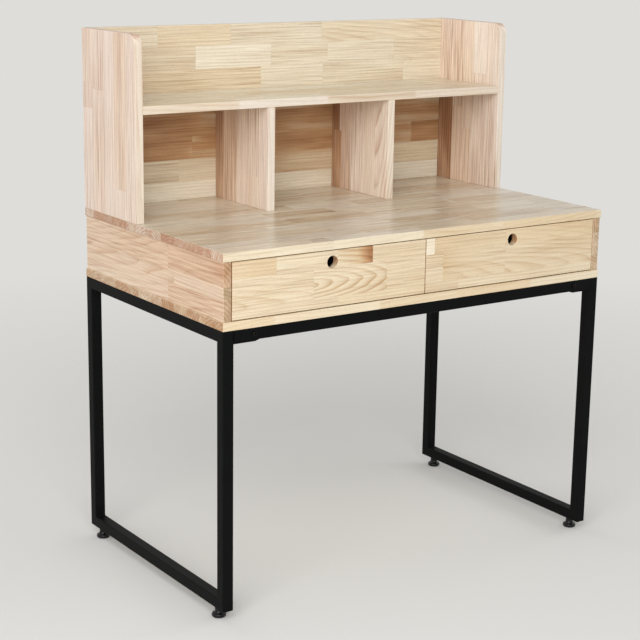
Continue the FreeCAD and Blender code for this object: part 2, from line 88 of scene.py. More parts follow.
class BoardSettings(bpy.types.PropertyGroup):
    """How the rubberwood boards are glued up, and the grain of their staves."""

    stave_width: length_setting("Stave width", "Width of one stave of a board", 0.0515)
    stave_length: length_setting("Stave length", "Usual length of a stave between its finger joints", 0.24)
    finger_length: length_setting("Finger length", "Length of the fingers that join two staves", 0.008)
    finger_pitch: length_setting(
        "Finger pitch", "Distance between two fingers, across the board's thickness", 0.0045)
    ring_width: length_setting("Ring width", "Width of a growth ring", 0.0075)
    ring_wander: length_setting("Ring wander", "How far the growth rings wander from true circles", 0.013)
    cloud_length: length_setting("Cloud length", "Length of the soft clouds of tone in a stave", 0.22)
    cloud_width: length_setting("Cloud width", "Width of the soft clouds of tone in a stave", 0.045)
    streak_length: length_setting("Streak length", "Length of the brown streaks along the grain", 0.20)
    streak_width: length_setting("Streak width", "Width of the brown streaks along the grain", 0.0034)
    fibre_length: length_setting("Fibre length", "Length of the fine fibre lines", 0.075)
    fibre_width: length_setting(
        "Fibre width", "Width of the fine fibre lines, drawn as coarse as they need to show", 0.0014)
    pore_length: length_setting("Pore length", "Length of the dark dashes that vessels leave", 0.009)
    pore_width: length_setting(
        "Pore width", "Width of those dashes, drawn as coarse as they need to show", 0.0006)
    mottle: length_setting("End-grain mottle", "Size of the soft spots on sawn ends", 0.014)
    pore_depth: length_setting("Pore depth", "Depth of the open pores under the lacquer", 0.00012)
    roughness: FloatProperty(
        name="Lacquer roughness", description="Roughness of the clear satin lacquer",
        default=0.34, min=0.05, max=1.0, subtype="FACTOR")


class FrameSettings(bpy.types.PropertyGroup):
    """Finish and welds of the steel frame, and its feet."""

    coat_colour: colour_setting("Powder coat", "Colour of the frame's powder coat", "#0A0B0B")
    grit: length_setting("Powder grit", "Size of the dimples in the powder coat", 0.0009)
    bead_radius: length_setting("Weld bead", "Radius of the weld beads in the frame's inner corners", 0.0028)
    ripple: length_setting("Weld ripple", "Length of one ripple of a weld bead", 0.0023)
    foot_colour: colour_setting("Foot plastic", "Colour of the moulded feet", "#0D0E0F")
    mould_grain: length_setting("Mould grain", "Size of the fine texture on the moulded feet", 0.0006)


class FittingSettings(bpy.types.PropertyGroup):
    """Finish and details of the screws, bolts, studs and runners."""

    zinc_colour: colour_setting("Zinc plate", "Colour of the plated runners, screws and studs", "#B9BCBE")
    oxide_colour: colour_setting("Black oxide", "Colour of the blackened bolts", "#1B1C1E")
    thread_pitch: length_setting("Thread pitch", "Pitch of the studs' thread", 0.00125)
    thread_depth: length_setting("Thread depth", "Depth of the studs' thread", 0.0007)
    bend_radius: length_setting("Bend radius", "Outer radius of the bends in the runners' sheet", 0.0005)
    screw_segments: IntProperty(
        name="Screw segments", description="Segments round a screw head, a multiple of eight",
        default=24, min=8, step=8)


class StageSettings(bpy.types.PropertyGroup):
    """Floor, light and camera."""

    floor_colour: colour_setting("Floor", "Colour of the studio floor and background", "#DEDDDA")
    floor_radius: length_setting("Floor radius", "Where the floor has faded into the background", 3.2)
    key_power: FloatProperty(
        name="Key light", description="Power of the large soft light in front on the left",
        default=180.0, min=0.0, unit="POWER")
    fill_power: FloatProperty(
        name="Fill light", description="Power of the two weak lights on the other sides",
        default=28.0, min=0.0, unit="POWER")
    ambient: FloatProperty(
        name="Ambient", description="Even light from all round",
        default=0.55, min=0.0)
    camera_place: FloatVectorProperty(
        name="Camera", description="Where the camera stands",
        default=(-2.0942, -2.9681, 1.4076), subtype="TRANSLATION", unit="LENGTH")
    camera_turn: angle_setting("Turn", "How far the camera stands round from the front", -34.356)
    camera_tilt: angle_setting("Tilt", "How far the camera looks down", 13.830)
    camera_roll: angle_setting("Roll", "How far the camera leans", 0.861)
    camera_lens: FloatProperty(
        name="Lens", description="Focal length on a 36 mm sensor",
        default=91.88, min=1.0, subtype="DISTANCE_CAMERA")


# Where most values of a noise lie
NOISE_SPAN = (0.3, 0.7)

# Sockets of a Mix node for what it mixes, and for the result
COLOUR_A = 6
COLOUR_B = 7
COLOUR_OUT = 2
VECTOR_A = 4
VECTOR_B = 5
VECTOR_OUT = 1


def add(tree, kind, *values, out=0, named=None, **settings):
    """Adds a node: settings first, then its inputs in order or by name, sockets linked. Gives one output."""
    node = tree.nodes.new("ShaderNode" + kind)
    for key, value in settings.items():
        setattr(node, key, value)
    for key, value in [*enumerate(values), *(named or {}).items()]:
        if isinstance(value, bpy.types.NodeSocket):
            tree.links.new(value, node.inputs[key])
        elif value is not None:
            node.inputs[key].default_value = value
    return node.outputs[out] if node.outputs else node


def blend_stops(ramp_socket, stops, interpolation="LINEAR"):
    """Sets the stops of a colour ramp, each a place and a linear colour."""
    ramp = ramp_socket.node.color_ramp
    ramp.interpolation = interpolation
    while len(ramp.elements) < len(stops):
        ramp.elements.new(1.0)
    for element, (place, colour) in zip(ramp.elements, stops):
        element.position = place
        element.color = (*colour, 1.0)
    return ramp_socket


def new_material(name, colour):
    """An empty material and its nodes, with the colour that a plain viewport shows."""
    material = bpy.data.materials.new(name)
    material.use_nodes = True
    material.diffuse_color = (*colour, 1.0)
    material.node_tree.nodes.clear()
    return material, material.node_tree


def finished(material, sockets):
    """A material ended in its surface shader, with these of its sockets linked or set."""
    tree = material.node_tree
    add(tree, "OutputMaterial", add(tree, "BsdfPrincipled", named=sockets))
    return material


def shaded(tree, colour, noise, lights, span=NOISE_SPAN):
    """A colour that a noise darkens and lightens."""
    light = add(tree, "MapRange", noise, *span, *lights)
    return add(tree, "VectorMath", colour, named={"Scale": light}, operation="SCALE")


def wear(node_name, material):
    """Gives a CAD node its material."""
    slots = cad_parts[node_name].data.materials
    slots.clear()
    slots.append(material)


# Where the tones of a timber lie, from 0 for the palest to 1 for the brownest, and which of them staves have
TONE_PLACES = (0.00, 0.20, 0.50, 0.80, 0.90, 1.00)
STAVE_TONES = (0.24, 0.56)
EVEN_TONES = (0.24, 0.42)
INNER_TONES = (0.10, 0.32)
CLOUD_TONES = (-0.09, 0.09)
GOLDEN_TINT = "#F4E2C6"

# Brown of the staves ends this far behind a board's middle plane, and the far face is no browner than this:
# that brown is partly heartwood and partly painted shade of the cubbies
FAR_FACE_EDGE = (0.001, 0.005)
FAR_TONE = 0.58


class Timber:
    """Tones of a batch of staves, from the palest sapwood to brown heartwood, which only listed staves
    reach, and the tints of its rings, streaks and sawn ends."""

    def __init__(self, tones, ring, streak, end):
        self.tones = [(place, linear(tone)) for place, tone in zip(TONE_PLACES, tones)]
        self.ring = ring
        self.streak = streak
        self.end = end


PALE = Timber(
    ("#EADFC8", "#E5D8BE", "#DFCEB0", "#D6BF9B", "#C59D74", "#A67A54"), "#CBA981", "#BC9A74", "#CBA892")
STRAW = Timber(
    ("#EBE4D2", "#E6DDC8", "#E0D4BC", "#D8C6A9", "#C29B73", "#A47852"), "#CBAE88", "#B8976F", "#CBA892")
# Pinker tones of the boards that stand sideways, partly the wood's and partly painted light: the warmer tint
# that light from the left gives faces turned that way
BLUSH = Timber(
    ("#F3E8DC", "#F0E0D2", "#ECD8C7", "#E3C9B4", "#CBA78A", "#A98062"), "#CFAC94", "#BAA08C", "#CFB6A2")
# Warmer, pinker tones of the case's side panels, partly the wood's and partly painted light: the warmer tint
# that light from the left gives faces turned that way
WARM = Timber(
    ("#EBDAC4", "#E7D1B8", "#E2C7AB", "#D9B79A", "#C99F7E", "#A97F5E"), "#CBA280", "#BC9472", "#BBB4A2")
CREAM = Timber(
    ("#E5DCCF", "#E2D7C8", "#DDD0BE", "#D5C1AA", "#BE9A7A", "#9F7756"), "#CDAD8E", "#BA9C7E", "#CBA892")
# Greyer tones of the desktop, partly the wood's and partly painted reflection: the grey cast that the room's
# reflection lays on its top
TAN = Timber(
    ("#EEE6D8", "#E8DFCE", "#E2D7C3", "#D5C4AB", "#BAA387", "#997F64"), "#C6AE90", "#AE9478", "#CDA28C")

# Strength of a ring's tint from its inner edge to its outer one: it darkens slowly and ends sharply
RING_PROFILE = ((0.00, 0.30), (0.12, 0.0), (0.45, 0.12), (0.78, 0.55), (0.92, 1.0), (1.00, 0.30))
RING_STRENGTHS = (0.45, 0.10)
LAID_RING_STRENGTH = 0.3

# Where a stave's pith lies: aside of its middle line, below its middle plane, and its lean along the stave
PITH_SPANS = ((-0.09, 0.09), (0.025, 0.080), (-0.09, 0.09))
STRAIGHT_PITH = (0.09, 0.04, 0.02)
ARCHED_PITH = (0.002, 0.030, 0.19)
SLANTED_PITH = (0.030, 0.050, 0.10)
SWEPT_PITH = (-0.035, 0.060, -0.11)
WIDE_RINGS = 0.011
ARCH_RINGS = 0.0068

# Share of a stave by which a row is shifted along the next, so that no joints line up, and their unevenness
ROW_SHIFT_SHARE = 13.37
UNEVEN_SHARE = 0.75

# Each stave takes its pattern from another place, within this many metres
PATTERN_REACH = 10.0

# Detail and roughness of the noises that draw the grain
GRAIN_NOISES = {"cloud": (2.0, 0.5), "streak": (3.0, 0.6), "fibre": (2.0, 0.6), "pore": (1.0, 0.5)}

# How much the parts of the grain lighten or darken the wood: a light multiplies it, an edge is where a part
# starts to show and where it shows in full, and strengths go from the least to the most that chance gives
FIBRE_LIGHT = (0.93, 1.06)
PORE_LIGHT = 0.82
PORE_EDGE = (0.60, 0.70)
STREAK_EDGE = (0.46, 0.72)
STREAK_STRENGTHS = (0.20, 0.55)
STREAK_TONES = (0.10, 0.30)
PALE_STREAK_SHARE = 0.20
EDGE_CALM_SHARE = 0.70
GOLDEN_STRENGTHS = (-0.25, 0.40)
END_STRENGTHS = (0.45, 0.90)
END_MOTTLE_SHARE = 0.20
END_RING_SHARE = 0.30
RING_BREAK = (0.35, 1.45)
GLUE_LIGHT = 0.93
GLUE_EDGE = (0.0002, 0.0007)
FACING_EDGE = (0.6, 0.9)
ROUGHNESS_SPREAD = (-0.04, 0.05)

# The lacquer lies thin on open pores, so it shines less than a full coat
LACQUER_IOR = 1.5
LACQUER_SPECULAR = 0.35
PORE_RELIEF = 0.25


@dataclass
class Stave:
    """A listed stave, in desk coordinates: its span along and across the board, its tone at each end, where
    its pith lies, how strongly its rings show and how wide they are where they differ."""

    along: tuple
    across: tuple
    start_tone: float
    end_tone: float
    pith: tuple = STRAIGHT_PITH
    rings: float = LAID_RING_STRENGTH
    ring_width: float = None


@dataclass
class Board:
    """Grain, tones and glue-up of one board: axes names its length along the grain, its width and its
    thickness, seed starts its chances, row_start is where a row of staves begins, edges is the timber of its
    long edges where that differs, laid are the listed staves, streaks and polish are shares of the usual
    streaks and roughness, and far_tone is how brown its far face may be."""

    axes: str
    timber: Timber
    seed: float
    tones: tuple = STAVE_TONES
    row_start: float = 0.0
    edges: Timber = None
    laid: tuple = ()
    streaks: float = 1.0
    polish: float = 1.0
    far_tone: float = None


def edge_distance(tree, value, span):
    """How far inside a span a value lies, below zero outside it."""
    off_middle = add(tree, "Math", value, sum(span) / 2, operation="SUBTRACT")
    off_middle = add(tree, "Math", off_middle, operation="ABSOLUTE")
    return add(tree, "Math", (span[1] - span[0]) / 2, off_middle, operation="SUBTRACT")


def lay_stave(tree, at, laid, name):
    """Lets a listed stave take over where it lies."""
    to_end = edge_distance(tree, at["jointed"], laid.along)
    to_side = edge_distance(tree, at["across"], laid.across)
    laid_gap = add(tree, "Math", to_end, to_side, operation="MINIMUM")
    here = add(tree, "Math", laid_gap, 0.0, operation="GREATER_THAN")
    taken = {
        "off_centre": add(tree, "Math", at["along"], sum(laid.along) / 2, operation="SUBTRACT"),
        "off_middle": add(tree, "Math", at["across"], sum(laid.across) / 2, operation="SUBTRACT"),
        "tone": add(tree, "MapRange", at["along"], *laid.along, laid.start_tone, laid.end_tone),
        "gap": laid_gap,
        "name": name,
        "rings": laid.rings,
        "ring_width": laid.ring_width or at["usual_rings"],
    }
    for key, value in taken.items():
        at[key] = add(tree, "Mix", here, None, at[key], value)
    piths = {"Factor": here, VECTOR_A: at["pith"], VECTOR_B: laid.pith}
    at["pith"] = add(tree, "Mix", named=piths, data_type="VECTOR", out=VECTOR_OUT)


def stave_places(tree, node_name, board, settings):
    """Where a point lies on its board and in its stave, and that stave's name, tone, pith and rings."""
    low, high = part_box(node_name)
    width = settings.stave_width
    length = settings.stave_length
    half_way = (low + high) / 2
    mid_plane = [half_way[at] if letter == board.axes[2] else 0.0 for at, letter in enumerate(AXES)]
    placed = add(tree, "VectorMath", add(tree, "TexCoord", out="Object"), mid_plane, operation="SUBTRACT")
    xyz = add(tree, "SeparateXYZ", placed).node.outputs
    along, across, deep = (xyz[letter] for letter in board.axes)

    # Rows of staves, joined end to end by fingers that show on the edges
    rows = add(tree, "Math", across, 1 / width, -board.row_start / width, operation="MULTIPLY_ADD")
    row = add(tree, "Math", rows, operation="FLOOR")
    in_row = add(tree, "Math", rows, row, operation="SUBTRACT")
    half_pitch = settings.finger_pitch / 2
    teeth = add(tree, "Math", deep, half_pitch, operation="PINGPONG")
    jointed = add(tree, "Math", teeth, settings.finger_length / half_pitch, along, operation="MULTIPLY_ADD")
    shift = add(tree, "Math", row, ROW_SHIFT_SHARE, board.seed, operation="MULTIPLY_ADD")
    place = add(tree, "Math", jointed, 1 / length, shift, operation="MULTIPLY_ADD")
    cells = {"W": place, "Scale": 1.0, "Randomness": UNEVEN_SHARE}
    stave = add(tree, "TexVoronoi", named=cells, voronoi_dimensions="1D", feature="F1").node.outputs
    end_gap = add(tree, "TexVoronoi", named=cells, voronoi_dimensions="1D", feature="DISTANCE_TO_EDGE")
    end_gap = add(tree, "Math", end_gap, length, operation="MULTIPLY")
    row_gap = add(tree, "Math", in_row, 0.5, operation="PINGPONG")
    row_gap = add(tree, "Math", row_gap, width, operation="MULTIPLY")
    off_centre = add(tree, "Math", place, stave["W"], operation="SUBTRACT")

    # What chance gives each stave
    chance = add(tree, "SeparateColor", stave["Color"]).node.outputs
    pith = [add(tree, "MapRange", share, 0.0, 1.0, *span) for share, span in zip(chance, PITH_SPANS)]
    draw = add(tree, "TexWhiteNoise", named={"W": stave["W"]}, noise_dimensions="1D")
    at = {
        "along": along, "across": across, "deep": deep, "jointed": jointed,
        "usual_rings": settings.ring_width, "ring_width": settings.ring_width,
        "off_centre": add(tree, "Math", off_centre, length, operation="MULTIPLY"),
        "off_middle": add(tree, "Math", in_row, width, -width / 2, operation="MULTIPLY_ADD"),
        "gap": add(tree, "Math", row_gap, end_gap, operation="MINIMUM"),
        "name": stave["W"],
        "tone": add(tree, "MapRange", draw, 0.0, 1.0, *board.tones),
        "rings": add(tree, "MapRange", chance[1], 0.0, 1.0, *RING_STRENGTHS),
        "pith": add(tree, "CombineXYZ", *pith),
    }

    # Staves listed one by one, each with chances of its own, and their brown, partly heartwood and partly
    # painted shade of the cubbies, which may end inside the board
    for number, laid in enumerate(board.laid):
        lay_stave(tree, at, laid, board.seed + number)
    if board.far_tone is not None:
        paler = add(tree, "Math", at["tone"], board.far_tone, operation="MINIMUM")
        far = add(tree, "MapRange", deep, *FAR_FACE_EDGE)
        at["tone"] = add(tree, "Mix", far, None, at["tone"], paler)
    return at


def growth_rings(tree, at, drift, settings):
    """Rings round a pith beside or below the stave, leaning along it and wandering a little."""
    aside, below, lean = add(tree, "SeparateXYZ", at["pith"]).node.outputs
    ring_x = add(tree, "Math", at["off_middle"], aside, operation="ADD")
    ring_y = add(tree, "Math", lean, at["off_centre"], below, operation="MULTIPLY_ADD")
    ring_y = add(tree, "Math", ring_y, at["deep"], operation="ADD")
    off_pith = add(tree, "CombineXYZ", ring_x, ring_y)
    radius = add(tree, "VectorMath", off_pith, operation="LENGTH", out="Value")
    radius = add(tree, "Math", drift, settings.ring_wander, radius, operation="MULTIPLY_ADD")
    phase = add(tree, "Math", radius, at["ring_width"], operation="DIVIDE")
    phase = add(tree, "Math", phase, operation="FRACT")
    stops = [(place, (strength,) * 3) for place, strength in RING_PROFILE]
    return blend_stops(add(tree, "ValToRGB", phase), stops, "EASE")


def rubberwood(node_name, board, settings):
    """Edge-glued, finger-jointed rubberwood under a clear satin lacquer: pale staves of differing tone, soft
    ring lines that arch where a stave was sawn flat, brown streaks along the grain and short dark pores."""
    timber = board.timber
    material, tree = new_material("rubberwood_" + node_name, timber.tones[2][1])
    at = stave_places(tree, node_name, board, settings)
    draws = add(tree, "TexWhiteNoise", named={"W": at["name"]}, noise_dimensions="1D", out="Color")
    chance = add(tree, "SeparateColor", draws).node.outputs

    # Clouds, streaks, fibres and pores, all drawn out along the grain
    spread = add(tree, "CombineXYZ", at["along"], at["across"], at["deep"])
    spot = add(tree, "VectorMath", draws, (PATTERN_REACH,) * 3, spread, operation="MULTIPLY_ADD")
    grain = {}
    for part, (detail, roughness) in GRAIN_NOISES.items():
        along = getattr(settings, part + "_length")
        across = getattr(settings, part + "_width")
        cell = add(tree, "VectorMath", spot, (1 / along, 1 / across, 1 / across), operation="MULTIPLY")
        noise = {"Vector": cell, "Scale": 1.0, "Detail": detail, "Roughness": roughness}
        grain[part] = add(tree, "TexNoise", named=noise)
    cloud = grain["cloud"]
    fibre = grain["fibre"]
    pore = add(tree, "MapRange", grain["pore"], *PORE_EDGE)
    ring = growth_rings(tree, at, cloud, settings)

    # Tone of the stave, cloudy along it, and another timber's tones on the long edges where they differ
    cloudy = add(tree, "MapRange", cloud, *NOISE_SPAN, *CLOUD_TONES)
    tone = add(tree, "Math", at["tone"], cloudy, operation="ADD", use_clamp=True)
    colour = blend_stops(add(tree, "ValToRGB", tone), timber.tones)
    normal = add(tree, "SeparateXYZ", add(tree, "TexCoord", out="Normal")).node.outputs
    facing = [add(tree, "Math", normal[axis], operation="ABSOLUTE") for axis in board.axes[:2]]
    end_on, edge_on = (add(tree, "MapRange", share, *FACING_EDGE) for share in facing)
    calm = add(tree, "Math", edge_on, EDGE_CALM_SHARE, end_on, operation="MULTIPLY_ADD", use_clamp=True)
    if board.edges:
        edge_colour = blend_stops(add(tree, "ValToRGB", tone), board.edges.tones)
        timbers = {"Factor": edge_on, COLOUR_A: colour, COLOUR_B: edge_colour}
        colour = add(tree, "Mix", named=timbers, data_type="RGBA", out=COLOUR_OUT)

    # Golden, ringed and streaked staves
    golden = add(tree, "MapRange", chance[0], 0.0, 1.0, *GOLDEN_STRENGTHS)
    golden = add(tree, "Math", golden, 0.0, operation="MAXIMUM")
    ring_share = add(tree, "Math", ring, at["rings"], operation="MULTIPLY")
    broken = add(tree, "MapRange", cloud, *NOISE_SPAN, *RING_BREAK)
    ring_share = add(tree, "Math", ring_share, broken, operation="MULTIPLY")
    least, most = (strength * board.streaks for strength in STREAK_STRENGTHS)
    streak_depth = add(tree, "MapRange", chance[2], 0.0, 1.0, least, most)
    in_pale = add(tree, "MapRange", at["tone"], *STREAK_TONES, PALE_STREAK_SHARE, 1.0)
    streak_depth = add(tree, "Math", streak_depth, in_pale, operation="MULTIPLY")
    streak_share = add(tree, "MapRange", grain["streak"], *STREAK_EDGE)
    streak_share = add(tree, "Math", streak_share, streak_depth, operation="MULTIPLY", use_clamp=True)
    streak_share = add(tree, "Mix", calm, None, streak_share, 0.0)

    # Darker, mottled end grain
    mottle = add(tree, "TexNoise", named={"Vector": spot, "Scale": 1 / settings.mottle, "Detail": 1.0})
    mottle = add(tree, "MapRange", mottle, *NOISE_SPAN, -END_MOTTLE_SHARE, END_MOTTLE_SHARE)
    end_depth = add(tree, "MapRange", chance[1], 0.0, 1.0, *END_STRENGTHS)
    end_depth = add(tree, "Math", mottle, end_depth, operation="ADD")
    end_depth = add(tree, "Math", ring, END_RING_SHARE, end_depth, operation="MULTIPLY_ADD")
    end_share = add(tree, "Math", end_on, end_depth, operation="MULTIPLY", use_clamp=True)

    # All tints, one after the other
    tints = (GOLDEN_TINT, timber.ring, timber.streak, timber.end)
    for tint, share in zip(tints, (golden, ring_share, streak_share, end_share)):
        tinted = {"Factor": share, COLOUR_A: colour, COLOUR_B: (*linear(tint), 1.0)}
        colour = add(tree, "Mix", named=tinted, data_type="RGBA", blend_type="MULTIPLY", out=COLOUR_OUT)

    # Fibres, pores and glue lines
    least, most = (1 + (light - 1) * board.streaks for light in FIBRE_LIGHT)
    fibre_light = add(tree, "MapRange", fibre, *NOISE_SPAN, least, most)
    fibre_light = add(tree, "Mix", calm, None, fibre_light, 1.0)
    pore_light = add(tree, "MapRange", pore, 0.0, 1.0, 1.0, PORE_LIGHT)
    glue_light = add(tree, "MapRange", at["gap"], *GLUE_EDGE, GLUE_LIGHT, 1.0)
    light = add(tree, "Math", fibre_light, pore_light, operation="MULTIPLY")
    light = add(tree, "Math", light, glue_light, operation="MULTIPLY")
    smooth = settings.roughness * board.polish
    least, most = (smooth + spread for spread in ROUGHNESS_SPREAD)
    height = add(tree, "Math", pore, -1.0, fibre, operation="MULTIPLY_ADD")
    relief = {"Strength": PORE_RELIEF, "Distance": settings.pore_depth, "Height": height}
    return finished(material, {
        "Base Color": add(tree, "VectorMath", colour, named={"Scale": light}, operation="SCALE"),
        "Roughness": add(tree, "MapRange", fibre, *NOISE_SPAN, least, most),
        "Normal": add(tree, "Bump", named=relief),
        "IOR": LACQUER_IOR,
        "Specular IOR Level": LACQUER_SPECULAR,
    })


def birch_plywood(settings):
    """Birch plywood, sanded: a pale peeled veneer with wide soft flames along the drawer, and darker core
    plies on its edges."""
    flame_size = (0.35, 0.03, 0.03)
    flame_tones = ((0.30, "#EBDCBE"), (0.50, "#E4D0AC"), (0.58, "#D9BF96"), (0.70, "#E6D4B2"))
    fibre_size = (0.05, 0.0015, 0.0015)
    fibre_lights = (0.95, 1.04)
    fibre_relief = 0.2
    roughness = (0.48, 0.60)
    ply_count = 3
    core_tint = "#B58A60"
    level_limit = 0.5
    material, tree = new_material("birch_plywood", linear("#E5D2B0"))
    low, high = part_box("left_drawer_bottom")
    placed = add(tree, "TexCoord", out="Object")
    flame_cell = add(tree, "VectorMath", placed, [1 / size for size in flame_size], operation="MULTIPLY")
    flame_noise = {"Vector": flame_cell, "Scale": 1.0, "Detail": 2.0, "Distortion": 0.6}
    flames = add(tree, "ValToRGB", add(tree, "TexNoise", named=flame_noise))
    veneer = blend_stops(flames, [(place, linear(tone)) for place, tone in flame_tones])
    fibre_cell = add(tree, "VectorMath", placed, [1 / size for size in fibre_size], operation="MULTIPLY")
    fibres = add(tree, "TexNoise", named={"Vector": fibre_cell, "Scale": 1.0, "Detail": 2.0})

    # Every other ply shows its darker core on the edges
    ply = (high.z - low.z) / ply_count
    height = add(tree, "SeparateXYZ", add(tree, "VectorMath", placed, low, operation="SUBTRACT"), out="Z")
    core = add(tree, "Math", height, ply, operation="PINGPONG")
    core = add(tree, "Math", core, ply / 2, operation="GREATER_THAN")
    level = add(tree, "SeparateXYZ", add(tree, "TexCoord", out="Normal"), out="Z")
    level = add(tree, "Math", level, operation="ABSOLUTE")
    on_edge = add(tree, "Math", level, level_limit, operation="LESS_THAN")
    on_edge = add(tree, "Math", on_edge, core, operation="MULTIPLY")
    tinted = {"Factor": on_edge, COLOUR_A: veneer, COLOUR_B: (*linear(core_tint), 1.0)}
    colour = add(tree, "Mix", named=tinted, data_type="RGBA", blend_type="MULTIPLY", out=COLOUR_OUT)
    relief = {"Strength": fibre_relief, "Distance": settings.pore_depth, "Height": fibres}
    return finished(material, {
        "Base Color": shaded(tree, colour, fibres, fibre_lights),
        "Roughness": add(tree, "MapRange", fibres, *NOISE_SPAN, *roughness),
        "Normal": add(tree, "Bump", named=relief),
    })


def turned_beech():
    """Turned beech of the dowels: pinkish brown, bare and matt, with short dark ray flecks."""
    beech = linear("#C99F78")
    fleck_size = 0.0016
    fleck_span = (0.1, 0.5)
    lights = (0.78, 1.05)
    roughness = (0.70, 0.58)
    material, tree = new_material("turned_beech", beech)
    placed = add(tree, "TexCoord", out="Object")
    flecks = add(tree, "TexVoronoi", named={"Vector": placed, "Scale": 1 / fleck_size})
    return finished(material, {
        "Base Color": shaded(tree, beech, flecks, lights, fleck_span),
        "Roughness": add(tree, "MapRange", flecks, *fleck_span, *roughness),
    })


def powder_coat(settings):
    """Black satin powder coat on steel: a fine orange-peel of dimples that breaks up the highlights."""
    cloud_size = 0.06
    cloud_lights = (0.85, 1.15)
    roughness = (0.44, 0.58)
    material, tree = new_material("black_powder_coat", settings.coat_colour)
    placed = add(tree, "TexCoord", out="Object")
    dimples = add(tree, "TexNoise", named={"Vector": placed, "Scale": 1 / settings.grit, "Detail": 2.0})
    clouds = add(tree, "TexNoise", named={"Vector": placed, "Scale": 1 / cloud_size, "Detail": 2.0})
    return finished(material, {
        "Base Color": shaded(tree, settings.coat_colour, clouds, cloud_lights),
        "Roughness": add(tree, "MapRange", dimples, *NOISE_SPAN, *roughness),
        "Normal": add(tree, "Bump", named={"Strength": 0.15, "Distance": 0.0001, "Height": dimples}),
        "IOR": 1.5,
        "Specular IOR Level": 0.06,
    })


def moulded_polypropylene(settings):
    """Black moulded polypropylene of the feet: a little glossier than the coat, with a faint mould grain."""
    lights = (0.9, 1.1)
    roughness = (0.28, 0.42)
    material, tree = new_material("moulded_polypropylene", settings.foot_colour)
    placed = add(tree, "TexCoord", out="Object")
    grain = add(tree, "TexNoise", named={"Vector": placed, "Scale": 1 / settings.mould_grain, "Detail": 1.0})
    return finished(material, {
        "Base Color": shaded(tree, settings.foot_colour, grain, lights),
        "Roughness": add(tree, "MapRange", grain, *NOISE_SPAN, *roughness),
        "Normal": add(tree, "Bump", named={"Strength": 0.1, "Distance": 0.00005, "Height": grain}),
        "IOR": 1.49,
        "Specular IOR Level": 0.3,
    })


def zinc_plate(settings):
    """Bright zinc plate on rolled steel: bluish grey metal with faint rolling lines and dull patches."""
    made = bpy.data.materials.get("zinc_plate")
    if made:
        return made
    line_size = (0.0008, 0.04, 0.0008)
    patch_size = 0.012
    patch_lights = (0.85, 1.08)
    roughness = (0.24, 0.40)
    material, tree = new_material("zinc_plate", settings.zinc_colour)
    placed = add(tree, "TexCoord", out="Object")
    rolled = add(tree, "VectorMath", placed, [1 / size for size in line_size], operation="MULTIPLY")
    lines = add(tree, "TexNoise", named={"Vector": rolled, "Scale": 1.0, "Detail": 2.0})
    patches = add(tree, "TexNoise", named={"Vector": placed, "Scale": 1 / patch_size, "Detail": 3.0})
    return finished(material, {
        "Base Color": shaded(tree, settings.zinc_colour, patches, patch_lights),
        "Roughness": add(tree, "MapRange", lines, *NOISE_SPAN, *roughness),
        "Metallic": 1.0,
    })


def black_oxide(settings):
    """Black oxide on the bolts: a thin dark skin on steel, with a dull metallic sheen and brown patches."""
    patch_size = 0.003
    patch_colours = (settings.oxide_colour, linear("#2A2623"))
    roughness = (0.30, 0.46)
    material, tree = new_material("black_oxide", settings.oxide_colour)
    placed = add(tree, "TexCoord", out="Object")
    patches = add(tree, "TexNoise", named={"Vector": placed, "Scale": 1 / patch_size, "Detail": 3.0})
    return finished(material, {
        "Base Color": blend_stops(add(tree, "ValToRGB", patches), [*zip(NOISE_SPAN, patch_colours)]),
        "Roughness": add(tree, "MapRange", patches, *NOISE_SPAN, *roughness),
        "Metallic": 1.0,
    })


def laid_row(across, cuts, *staves):
    """Staves of one row, end to end from cut to cut, each by its tones and its grain where that shows."""
    return [Stave(along, across, *stave) for along, stave in zip(zip(cuts, cuts[1:]), staves)]


def drawer_front_staves(side):
    """Staves of a drawer front, in three rows, as the joints and arches on the real fronts lie."""
    top = (0.718, 0.754)
    middle = (0.656, 0.718)
    bottom = (0.635, 0.656)
    if side == "left":
        return [
            *laid_row(top, (-0.500, -0.375, -0.227, -0.139, 0.000),
                      (0.52, 0.56), (0.34, 0.36), (0.45, 1.00, SLANTED_PITH, 0.6), (0.60, 0.58)),
            *laid_row(middle, (-0.500, -0.286, -0.102, 0.000),
                      (0.38, 0.42, SLANTED_PITH, 0.25), (0.36, 0.50, ARCHED_PITH, 0.62, ARCH_RINGS),
                      (0.44, 0.46)),
            *laid_row(bottom, (-0.500, -0.225, 0.000), (0.36, 0.40), (0.46, 0.46)),
        ]
    return [
        *laid_row(top, (0.000, 0.023, 0.220, 0.500), (0.06, 0.06), (0.62, 0.50), (0.50, 0.60, SLANTED_PITH)),
        *laid_row(middle, (0.000, 0.047, 0.220, 0.500),
                  (0.46, 0.50), (0.76, 0.52, SLANTED_PITH), (0.50, 0.60, SLANTED_PITH, 0.35)),
        *laid_row(bottom, (0.000, 0.090, 0.500), (0.56, 0.56), (0.44, 0.48)),
    ]


HUTCH_BACK_ROWS = (1.1700, 1.1215, 1.0695, 1.0180, 0.9670, 0.9170, 0.8660, 0.8160, 0.7650)


